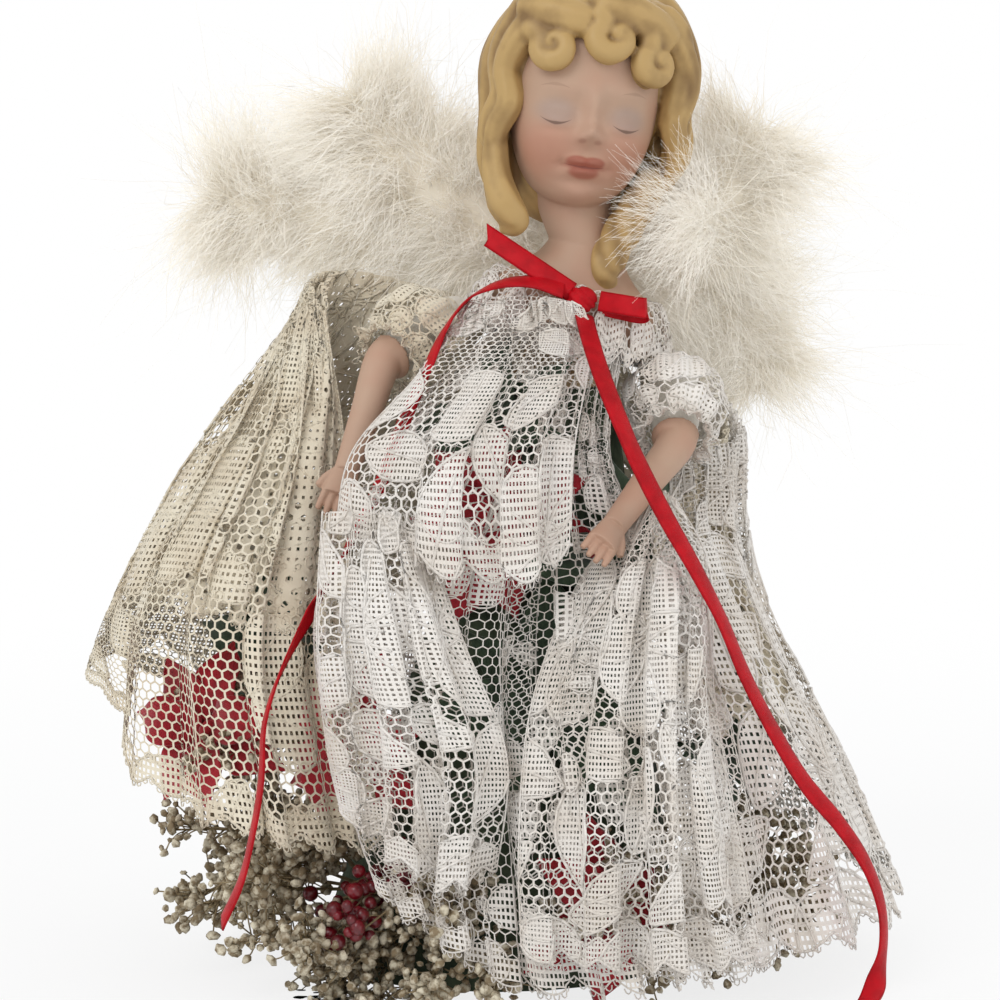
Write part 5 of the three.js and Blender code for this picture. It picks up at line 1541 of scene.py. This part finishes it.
@dataclass
class Arm:
    """One arm: padded upper arm, bisque forearm with a hand, and a lace sleeve."""

    side: int
    elbow: Triple
    wrist: Triple
    top: float = 4.1
    wrist_radius: float = 2.1
    palm: float = 4.6
    finger: float = 4.4
    finger_radius: float = 0.62

    @property
    def name(self) -> str:
        """Which arm it is."""
        return "left" if self.side > 0 else "right"

    @property
    def body(self) -> Body:
        """The body that the arm is."""
        return Body.LEFT_ARM if self.side > 0 else Body.RIGHT_ARM

    def forearm(self) -> None:
        """Tapered tube that bends at the elbow, a flat palm, four fingers and a thumb, melted together."""
        elbow, wrist = array(self.elbow), array(self.wrist)
        shoulder = FIGURE.shoulder(self.side)
        along = unit(wrist - elbow)
        leave = elbow + unit(elbow - shoulder) * self.top * 0.5
        bend = leave + (wrist - leave) * 0.45 + FRONT * self.top * 0.12
        t = shares(40)
        path = follow(array([elbow, leave, bend, wrist]), t)
        radius = self.top + (self.wrist_radius - self.top) * t**0.8
        parts = [tubes(path[None], radius[None], 32, FRONT)]
        across = unit(cross(along, FRONT)) * -self.side
        knuckles = wrist + along * self.palm
        t = shares(12)
        heel = wrist - along * self.wrist_radius
        path = heel + (knuckles - heel) * t[:, None]
        parts.append(tubes(path[None], (self.wrist_radius * (0.92 + 0.4 * t))[None], 24, FRONT, flat=0.62))

        def digit(root: Array, tip: Array, bulge: Array, thick: float) -> Shape:
            """A finger or thumb from root to tip, bowed by a bulge, which gets thinner."""
            t = shares(10)
            path = follow(array([root, (root + tip) / 2 + bulge, tip]), t)
            return tubes(path[None], (self.finger_radius * (thick - 0.4 * t**2))[None], 14, FRONT)

        for place, share in ((-1, 0.86), (-0.34, 1), (0.34, 1.04), (1, 0.92)):
            root = knuckles + across * place * self.wrist_radius * 0.92 - along * self.finger_radius * 2
            tip = root + along * (self.finger * share + self.finger_radius) - FRONT * self.finger_radius * 1.4
            tip = tip + across * place * self.finger_radius * 0.5
            parts.append(digit(root, tip, FRONT * 0.35, 1.16))
        root = wrist + across * self.wrist_radius * 0.6
        tip = root + along * self.palm * 0.9 + across * self.wrist_radius * 1.1 - FRONT * self.finger_radius
        parts.append(digit(root, tip, across * 0.3, 1.35))
        piece = fused(f"{self.name} bisque forearm", joined(parts), BISQUE, 0.2, 3)
        settle(piece, f"{self.name}_forearm", self.body)

    def upper(self) -> None:
        """Padded cloth tube, filled and drawn in at its ends by a short cloth simulation."""
        elbow = array(self.elbow)
        shoulder = FIGURE.shoulder(self.side)
        along = unit(elbow - shoulder)
        t = shares(34)
        start = shoulder - along * 3.6
        path = start + (elbow - along * 0.4 - start) * t[:, None]
        radius = 3.75 * sqrt(minimum(1, 0.3 + 3 * t)) * minimum(1, 0.7 + 3 * (1 - t))
        tube = tubes(path[None], radius[None], PADDED_SIDES, BACKWARD)
        piece = make_object(f"{self.name} padded upper arm", tube, PADDED_COTTON)
        fill_by_cloth(piece, 1.15, 14)
        settle(piece, f"{self.name}_upper_arm", self.body)

    def build(self) -> None:
        """Makes the pieces of the arm."""
        self.forearm()
        self.upper()
        lace = LacePattern(1.7, scallop=5, scallop_depth=1.4, hem_band=2.6, figure_scale=0.62, cord=0.18)
        name = f"{self.name} lace sleeve"
        finish, slot = (CREAM_LACE, Slot.LACE_CREAM) if self.side < 0 else (WHITE_LACE, Slot.LACE_WHITE)
        piece = Sleeve(name, lace, finish, side=self.side, elbow=self.elbow)
        piece.hang(slot, f"{self.name}_sleeve", f"{self.name} padded upper arm", self.body)


def fill_by_cloth(piece: Thing, pressure: float, frames: int) -> None:
    """Fills a closed cloth shape: a short simulation with pressure and pinned ends, then keeps the result."""
    mesh = piece.data
    count = len(mesh.vertices)
    ends = [k for k in range(count) if not 2 * PADDED_SIDES <= k < count - 2 * PADDED_SIDES]
    group = piece.vertex_groups.new(name="sewn")
    group.add(ends, 1, "REPLACE")
    cloth = piece.modifiers.new("cloth", "CLOTH")
    cloth.settings.quality = 6
    cloth.settings.mass = 0.05
    cloth.settings.use_pressure = True
    cloth.settings.uniform_pressure_force = pressure
    cloth.settings.shrink_min = -0.04
    cloth.settings.effector_weights.gravity = 0
    cloth.settings.vertex_group_mass = "sewn"
    cloth.collision_settings.use_collision = False
    scene = bpy.context.scene
    for step in range(1, frames + 1):
        scene.frame_set(step)
    evaluated(piece)
    scene.frame_set(1)


@dataclass
class Plume:
    """A marabou plume: a soft core hidden in thousands of curved strands gathered into tufts."""

    side: str
    place: str
    route: tuple[Triple, ...]
    width: float
    seed: int
    toward: Triple
    stop: float = 1
    spill: bool = False
    reach: float = 66
    thickness: float = 2.3
    behind: float = 2.89
    tufts: int = 170
    strands: int = 74
    longest: float = 15

    def build(self) -> None:
        """Tufts leave the quill all round; a tuft's strands start apart, sway and meet near its tip."""
        rng = np.random.default_rng(self.seed)
        back = FIGURE.collar_half_width * FIGURE.plate_depth_share + self.behind
        nape = FIGURE.on_torso([0, back, FIGURE.plate_lift + FIGURE.collar_rise])
        spine = array(self.route) * self.reach + nape
        half = self.width * self.reach
        swell = lambda t: sin(np.pi * minimum(1, 0.94 * t + 0.03)) ** 0.62
        tufts = self.tufts // 1
        t = self.stop * rng.uniform(0.03, 1, tufts) ** 0.8
        middle = follow(spine, t)
        along = unit(follow(spine, minimum(t + 0.02, 1)) - follow(spine, maximum(t - 0.02, 0)))
        across = unit(cross(along, BACKWARD))
        back = cross(across, along)
        angle = rng.uniform(0, FULL, tufts)
        flat = cos(angle)[:, None] * across * half + sin(angle)[:, None] * back * (self.thickness + 1)
        centre = middle + flat * swell(t)[:, None] * rng.uniform(0.1, 0.7, tufts)[:, None]
        out = unit(flat) + along * rng.uniform(0.1, 1.3, tufts)[:, None]
        out = unit(out + rng.normal(0, 0.35, (tufts, 3)))
        gain = 1 + 0.6 * maximum(out @ unit(array(self.toward, float)), 0)
        length = 5.6 + half * 0.36 * abs(cos(angle)) + 2.5 * (t > 0.85)
        length = length * gain * rng.uniform(0.7, 1.2, tufts)
        own = np.repeat(arange(tufts), self.strands)
        count = len(own)
        wisp = rng.random(count) < 0.09
        long = minimum(length[own] * rng.uniform(0.5, 1.15, count) * np.where(wisp, 1.6, 1), self.longest)
        root = centre[own] + rng.normal(0, 1.5, (count, 3)) * array([1, 0.5, 1])
        stray = np.where(wisp, 0.42, 0.2)
        tip = centre[own] + out[own] * long[:, None] + rng.normal(0, 1, (count, 3)) * (stray * long)[:, None]
        sway = rng.normal(0, 1, (count, 3)) * (0.13 * long)[:, None]
        twist = rng.normal(0, 1, (count, 3)) * (0.05 * long)[:, None]
        steps = shares(5)[None, :, None]
        paths = root[:, None] + (tip - root)[:, None] * steps
        paths = paths + sway[:, None] * sin(np.pi * steps) + twist[:, None] * sin(FULL * steps)
        paths[:, :, 2] -= (0.06 * long)[:, None] * steps[:, :, 0] ** 2
        wide = np.where(wisp, 0.09, 0.13)[:, None] * (1.05 - 0.75 * steps[:, :, 0])
        wide = wide * rng.uniform(0.8, 1.2, (count, 1))
        parts = [blades(paths, wide, self.facing(rng, count))]
        if self.spill:
            parts.append(self.spilled(rng))
        core_t = linspace(0, self.stop, 60)
        path = follow(spine, core_t)
        lumps = 1 + 0.12 * sin(23 * core_t) + 0.08 * sin(41 * core_t + 1)
        size = 0.7 + 0.42 * half * swell(core_t) * lumps
        size = size * (1 - 0.7 * smooth(0.8, 1, core_t / self.stop))
        squeeze = (0.7 + self.thickness * 0.8 * swell(core_t)) / size
        angle = circle(30)
        line = unit(gradient(path, axis=0))
        wide = unit(cross(line, BACKWARD))
        deep = cross(wide, line)
        ripple = 1 + 0.1 * sin(5 * angle[None] + 17 * core_t[:, None])
        rings = path[:, None] + (size[:, None] * ripple)[..., None] * (
            cos(angle)[None, :, None] * wide[:, None]
            + (squeeze[:, None] * sin(angle)[None])[..., None] * deep[:, None]
        )
        piece = make_object(f"{self.side} {self.place} plume", joined([skin(rings), *parts]), PLUME)
        settle(piece, f"{self.side}_wing_{self.place}_plume")

    def facing(self, rng: np.random.Generator, count: int) -> Array:
        """Which way each strand's flat side faces: about the front."""
        return unit(rng.normal(0, 0.35, (count, 3)) + array([0, -1, 0.3]))

    def spilled(self, rng: np.random.Generator, count: int = 620) -> Shape:
        """Down that spills forward past the neck: curves of degree two from the plume to before the cheek."""
        root = array([36, 3, 122]) + rng.normal(0, 1, (count, 3)) * array([3.5, 2, 5])
        bend = array([35, -11, 126]) + rng.normal(0, 1, (count, 3)) * array([2.5, 2, 4.5])
        clump = array([
            [20.5, -18.5, 127], [22, -18, 133], [21, -19, 121], [25, -18, 116.5],
            [27, -17, 130], [28, -17, 122], [31, -16, 137], [30, -16, 114],
        ])
        tip = clump[rng.integers(0, len(clump), count)] + rng.normal(0, 2.2, (count, 3))
        s = shares(10)[None, :, None]
        paths = root[:, None] * (1 - s) ** 2 + 2 * bend[:, None] * s * (1 - s) + tip[:, None] * s**2
        paths = paths + rng.normal(0, 0.9, (count, 1, 3)) * sin(FULL * s)
        wide = 0.1 * (1.05 - 0.75 * s[:, :, 0]) * rng.uniform(0.7, 1.2, (count, 1))
        return blades(paths, wide, self.facing(rng, count))


# Flowers, leaves, dried sprays and berries


def leaf_sheet(
    length: float, half: float, lift: float, droop: float,
    cup: float, ruffle: float, seed: float, veins: float,
) -> Shape:
    """A petal or leaf: a cupped, ruffled sheet from its root at the origin along +Y, with veins as tone."""
    rows, columns = 26, 17
    t, s = meshgrid(shares(rows), linspace(-1, 1, columns), indexing="ij")
    wide = half * sin(np.pi * minimum(0.985, 0.1 + 0.9 * t)) ** 0.8 * (1 + 0.05 * sin(9 * t + seed))
    middle = follow(array([[0, 0, 0], [0, length * 0.5, lift], [0, length, lift - droop]]), t[:, 0])
    x = s * wide
    y = middle[:, 1][:, None] - 0.08 * length * s * s * t
    wave = ruffle * sin(7 * t + seed) * s**2 * sign(s) + ruffle * 0.6 * sin(15 * t + 2 * seed) * abs(s) ** 3
    z = middle[:, 2][:, None] + cup * s * s * wide + wave
    vein = exp(-((s / 0.07) ** 2)) + 0.7 * exp(-((sin(np.pi * (7 * t - 2.4 * abs(s))) / 0.35) ** 2))
    tone = veins * clip(vein, 0, 1) + 0.25 * (1 - t)
    return skin(stack([x, y, z], axis=-1), round_section=False, tone=tone)


def thickened(piece: Thing, thickness: float) -> Thing:
    """The piece with its sheets given a thickness in millimetres."""
    solid = piece.modifiers.new("thickness", "SOLIDIFY")
    solid.thickness = thickness * MM
    solid.offset = 0
    return piece


def placed(shape: Shape, azimuth: float, share: float) -> Shape:
    """A shape of the seat's own frame, whose +Z leaves the cone, set on its wall at a share of its height."""
    axes, seat = FIGURE.on_cone(azimuth, share * FIGURE.cone_height)
    return shape.moved(shape.points @ axes + seat)


def spun(shape: Shape, angle: float, shift: Array) -> Shape:
    """A shape turned about +Z and then moved."""
    c, s = math.cos(angle), math.sin(angle)
    return shape.moved(shape.points @ array([[c, s, 0], [-s, c, 0], [0, 0, 1]]) + shift)


def faced(shape: Shape, turn: float, lift: float) -> Shape:
    """A shape turned about +Y by degrees and then lifted to a stem's end."""
    return shape.moved(turned(shape.points, turn) + UP * lift)


def stem(length: float, radius: float) -> Shape:
    """A wire stem from the seat outwards, with a slight bow."""
    t = shares(8)
    path = stack([0.2 * sin(np.pi * t), 0 * t, length * t], axis=1)
    return tubes(path[None], radius, 8, array([1, 0, 0]))


@dataclass
class Blooms:
    """Red silk flowers and dark green leaf sprays on the cone."""

    petal_length: float = 17
    petal_half: float = 4.4
    leaf_length: float = 20
    leaf_half: float = 4.6
    flowers: tuple = (
        ("right", -52, 0.371, 0.7, 6, 0.9, 15), ("right outer", -76, 0.345, 1.8, 7, 0.84, 52),
        ("upper", -24, 0.77, 0.235, 7, 1.05, 0), ("front", 24, 0.12, 0.62, 6, 0.9, 0),
        ("back", 176, 0.35, 0.7, 6, 0.9, 0),
    )
    sprays: tuple = (
        ("upper_right", -42, 0.918, 0.1, 0.86, 0), ("upper_left", 34, 0.701, 0.2, 0.9, 0),
        ("middle", 8, 0.454, 0.25, 1.1, 0), ("left", 64, 0.371, 0.65, 1, 0),
        ("right", -100, 0.474, 1.1, 0.95, 62),
    )

    def flower(
        self, name: str, azimuth: float, height: float, reach: float, petals: int, size: float, turn: float,
    ) -> None:
        """One flower: petals in two rows about a stem's end, with a button of stamens, turned forward."""
        tall = reach * self.petal_length
        wire = stem(tall, 0.6)
        parts = []
        for k in range(petals):
            row = k % 2
            long = self.petal_length * size * (1 - 0.12 * row)
            half = self.petal_half * size * 1.12
            petal = leaf_sheet(long, half, 1 + 2 * row, 3, 0.22, 0.7, 1.7 * k + azimuth, 0.35)
            petal.points[:, 1] += 1.1
            petal.points[:, 2] += 0.8 * (row - 0.5)
            parts.append(spun(petal, -(k / petals * FULL + row * 0.2), zeros(3)))
        button = scattered(seed_head(), array([[0, 0, 0.5]]), array([1.9]), 3)
        head = faced(joined([*parts, button]), turn, tall)
        piece = make_object(f"red flower {name}", placed(joined([head, wire]), azimuth, height), RED_PETAL)
        settle(thickened(piece, 0.3), f"red_flower_{name.split()[0]}")

    def spray(self, name: str, azimuth: float, height: float, reach: float, size: float, turn: float) -> None:
        """One leaf spray: leaves that fan out from a stem's end, turned to the front."""
        tall = reach * self.leaf_length
        parts = []
        for k in range(7):
            angle = ((k + 0.5) / 7 - 0.5) * 1.75 * np.pi
            long = size * (1 + 0.14 * math.sin(2.3 * k + azimuth))
            lift = 3 + 2.4 * (k % 2)
            tall_leaf, half = self.leaf_length * long, self.leaf_half * long
            leaf = leaf_sheet(tall_leaf, half, lift, 2, 0.12, 0.45, 2.1 * k + azimuth, 0.5)
            parts.append(spun(leaf, angle, array([0, 0, -0.7])))
        fan = joined([faced(joined(parts), turn, tall), stem(tall, 0.6)])
        piece = make_object(f"leaf spray {name}", placed(fan, azimuth, height), GREEN_LEAF)
        settle(thickened(piece, 0.25), f"leaf_spray_{name}")

    def build(self) -> None:
        """Makes all of them."""
        for entry in self.flowers:
            self.flower(*entry)
        for entry in self.sprays:
            self.spray(*entry)


def seed_head(lobes: int = 4, depth: float = 0.34) -> Shape:
    """A small round seed head of radius one with lobes, like a closed bud."""
    sides, rows = (6, 4) if lobes else (10, 6)
    around, down, ray = globe(sides, rows, 0.3)
    radius = 1 - depth * (0.5 + 0.5 * cos(lobes * around + 2 * down)) * sin(down)
    return skin(ray * radius[..., None])


def scattered(part: Shape, places: Array, sizes: Array, seed: int, uneven: float = 0.3) -> Shape:
    """Copies of a part at the given places, stretched unevenly, turned by random quaternions and sized."""
    rng = np.random.default_rng(seed)
    count = len(places)
    quaternion = unit(rng.normal(size=(count, 4)))[:, None]
    axis = quaternion[..., 1:]
    local = part.points[None] * rng.uniform(1 - uneven, 1 + uneven, (count, 1, 3))
    local = local + 2 * cross(axis, cross(axis, local) + quaternion[..., :1] * local)
    points = local * sizes[:, None, None] + places[:, None]
    shift = (arange(count) * len(part.points))[:, None, None]
    tone = np.repeat(rng.uniform(0, 0.5, count), len(part.points))
    quads = (part.quads[None] + shift).reshape(-1, 4)
    return Shape(points.reshape(-1, 3), quads, (part.triangles[None] + shift).reshape(-1, 3), tone)


@dataclass
class DrySpray:
    """A bunch on the cone: stems that fan out by the golden angle and branch, with a head on each twig."""

    name: str
    node: str
    azimuth: float
    height: float
    count: int
    reach: float
    spread: float
    slot: Slot
    heads: int = 9
    head_size: float = 1
    twig: float = 5.2
    finish: Finish = DRIED_BUD
    lobes: int = 4
    bend: Triple = (0, 0, 0)
    floor_clear: float = 0.15

    def build(self) -> None:
        """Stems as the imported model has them; twigs leave their outer two thirds to all sides."""
        rng = np.random.default_rng(int(self.azimuth * 7 + 2000))
        golden = np.pi * (3 - math.sqrt(5))
        clump = 0.7 * 2.4
        k = arange(self.count)
        share = sqrt((k + 0.5) / self.count)
        flat = stack([cos(k * golden), sin(k * golden), 0 * share], axis=1)
        length = self.reach * (0.76 + 0.24 * cos(3.7 * k))
        tilt = self.spread * share
        base = flat * (clump * 0.7 * share)[:, None] + array([0, 0, clump])
        tip = flat * (sin(tilt) * length)[:, None] + stack([0 * k, 0 * k, clump + cos(tilt) * length], axis=1)
        steps = shares(9)[None, :, None]
        bow = rng.normal(0, 0.05, (self.count, 1, 3)) * length[:, None, None]
        bend = array(self.bend)
        stems = base[:, None] + (tip - base)[:, None] * steps + bow * sin(np.pi * steps) + bend * steps**2
        parts = [tubes(stems, 0.34 - 0.16 * steps[..., 0], 5, array([0.3, 0.2, 1]))]
        far = rng.uniform(0.42, 1, (self.count, self.heads, 1))
        start = base[:, None] + (tip - base)[:, None] * far + bow * sin(np.pi * far) + bend * far**2
        ray = unit(rng.normal(0, 0.8, (self.count, self.heads, 3)) + unit(tip - base)[:, None] * 0.9)
        reach = self.twig * rng.uniform(0.35, 1, (self.count, self.heads, 1))
        end = (start + ray * reach).reshape(-1, 3)
        start = start.reshape(-1, 3)
        line = shares(4)[None, :, None]
        kink = rng.normal(0, 0.35, (len(start), 1, 3))
        twigs = start[:, None] + (end - start)[:, None] * line + kink * sin(np.pi * line)
        parts.append(tubes(twigs, 0.15, 3, array([0.2, 0.3, 1])))
        places = concatenate([end, tip + bend, end[::2] + rng.normal(0, 1, end[::2].shape)])
        sizes = self.head_size * rng.uniform(0.7, 1.2, len(places))
        depth, uneven = (0.3, 0.3) if self.lobes else (0, 0.06)
        heads = scattered(seed_head(self.lobes, depth), places, sizes, int(self.azimuth + 400), uneven)
        for name, shape, finish in (
            (self.name, heads, self.finish), (f"{self.name} stems", joined(parts), DRIED_STEM),
        ):
            shape = placed(shape, self.azimuth, self.height)
            shape.points[:, 2] = maximum(shape.points[:, 2], self.floor_clear)
            settle(make_object(name, shape, finish), self.node)


@dataclass
class Core:
    """The card cone, its plug and the arm wire, shown as packed."""

    def build(self) -> None:
        """Gives the three nodes their materials; the cone's near-black green is painted shade."""
        for node, finish in (("core_cone", SHADE_DARK_CARD), ("top_plug", TURNED_WOOD), ("arm_wire", DRAWN_WIRE)):
            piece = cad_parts[node]
            piece.data.materials.clear()
            piece.data.materials.append(finish.material())


@dataclass
class Dress:
    """The lace of the dress: two front panels, the cape, the side, the back and the neckline."""

    def build(self) -> None:
        """Makes the panels."""
        panels = (
            ("right front lace panel", "front_panel_right", FRONT_RIGHT, 4, 1.3, 12, 0, (3, 5), Weight.NET),
            ("left front lace panel", "front_panel_left", FRONT_LEFT, 4, 1.3, 12, 0, (20, 14), Weight.NET),
            ("bunched lace at the waist", "front_panel_right", APRON, 3, 1.6, 16, 0, (8, 10), Weight.FINE),
            ("right front lace flounce", "front_panel_right", LOBE, 3, 1.6, 4, 0, (30, 3), Weight.FINE),
            ("left front lace flounce", "front_panel_left", FLOUNCE, 4, 1.8, 6, 0, (16, 18), Weight.FINE),
            ("right lace cape", "cape_panel_right", CAPE, 6, 1.6, 22, 0, (10, 0), Weight.FACE),
            (
                "right lace cape inner layer", "cape_panel_right", CAPE[:3], 5, 1.5, 22, 2.6, (31, 18),
                Weight.LINING,
            ),
            ("left side lace panel", "side_panel_left", SIDE, 6, 1.6, 22, 0, (0, 22), Weight.FACE),
            (
                "left side lace inner layer", "side_panel_left", SIDE[:3], 5, 1.5, 22, 2.6, (24, 5),
                Weight.LINING,
            ),
            ("back lace panel", "back_panel", BACK, 5, 1.6, 18, 0, (15, 9), Weight.FACE),
            ("back lace inner layer", "back_panel", BACK[:3], 4, 1.5, 18, 2.4, (2, 30), Weight.LINING),
        )
        bare = {
            "bunched lace at the waist": (2, 34, 13, 29), "left front lace flounce": (12, 60, 0, 25),
            "right lace cape": (24, 62, 60, 87),
        }
        for number, (name, node, guides, folds, depth, gathers, sink, shift, weight) in enumerate(panels):
            finish = CREAM_LACE if guides is CAPE or weight is Weight.LINING else WHITE_LACE
            slot = Slot.LACE_CREAM if node == "cape_panel_right" else Slot.LACE_WHITE
            lace = replace(weight.value, shift=shift, bare=bare.get(name, ()))
            Panel(
                name, lace, finish, guides=guides, folds=folds, depth=depth, gathers=gathers,
                phase=1.3 * number, sink=sink,
            ).hang(slot, node)
        narrow = LacePattern(1.6, scallop=4.2, scallop_depth=0.9, hem_band=2, figure_scale=0.5, cord=0.18)
        Frill("gathered neckline", narrow, WHITE_LACE, loose=0.8).hang(Slot.LACE_WHITE, "collar")


def main() -> None:
    """Builds the scene: camera first, then each sub-assembly."""
    logging.basicConfig(level=logging.INFO, format="%(message)s")
    bpy.context.scene.view_settings.view_transform = "Standard"
    studio = Studio()
    studio.camera()
    ribbon = Ribbon()
    ribbon.tail("left", ribbon.left_route, [-5, -15, -25, -22, -30, -18, -12, -15, -12, -5, 0])
    ribbon.tail("right", ribbon.right_route, [40, 62, 55, 20, 0, 0, 70, 32, 30, 34, 30])
    ribbon.bow()
    Core().build()
    Head().build()
    Arm(-1, (-17.5, -10, 102.5), (-24.6, -21.5, 84)).build()
    Arm(1, (29.5, -14, 89.5), (18.6, -32.5, 76)).build()
    Dress().build()
    for entry in (
        ("right", "upper", ((-0.06, 0.012, 0.036), (-0.36, 0, 0.29), (-0.57, 0, 0.5)),
         0.19, 11, (-0.6, 0, -0.8)),
        ("right", "outer", ((-0.045, 0.086, 0.045), (-0.55, 0.086, 0.2), (-0.95, 0.086, 0.24)),
         0.22, 12, (0.3, 0, 1)),
        ("left", "upper", ((0.045, -0.014, 0.03), (0.34, -0.014, 0.22), (0.53, -0.014, 0.5)),
         0.19, 13, (0.3, 0, -0.95), 0.84, True),
        ("left", "lower", ((0.045, 0.067, 0.015), (0.39, 0.067, 0), (0.49, 0.067, -0.26)),
         0.18, 14, (0.6, 0, 0.8), 0.92),
    ):
        Plume(*entry).build()
    Blooms().build()
    for name, node, azimuth, height, count, reach, spread, heads in (
        ("front", "front", -52, 0.144, 7, 29, 0.72, 44), ("right", "right", -86, 0.165, 6, 29, 0.72, 44),
        ("left", "left", 62, 0.144, 6, 25, 0.7, 40), ("back", "back", 150, 0.144, 6, 22, 0.7, 36),
        ("inside the cape", "right", -84, 0.38, 7, 32, 0.5, 36),
        ("under the berries", "front", -37, 0.03, 7, 15, 0.95, 40),
        ("under the hem", "front", -16, 0.1, 7, 20, 0.95, 40),
        ("left front", "left", 30, 0.12, 7, 20, 0.95, 40),
        ("behind the cape", "right", -118, 0.12, 7, 21, 0.95, 34),
        ("back right", "back", -165, 0.12, 6, 20, 0.95, 28), ("left side", "left", 98, 0.12, 7, 20, 0.95, 28),
    ):
        DrySpray(
            f"baby's breath {name}", f"babys_breath_{node}", azimuth, height, count, reach, spread, Slot.BUDS,
            heads=int(heads * 1.2), head_size=0.95, twig=7,
        ).build()
    DrySpray(
        "berry bunch", "berry_bunch", -24, 0.186, 7, 19, 0.42, Slot.BERRIES, heads=7, head_size=1.15,
        twig=4.6, finish=BERRY_RED, lobes=0, bend=(-11, -7, 0),
    ).build()
    studio.lamps()
    studio.room()
    studio.floor()


if __name__ == "__main__":
    main()
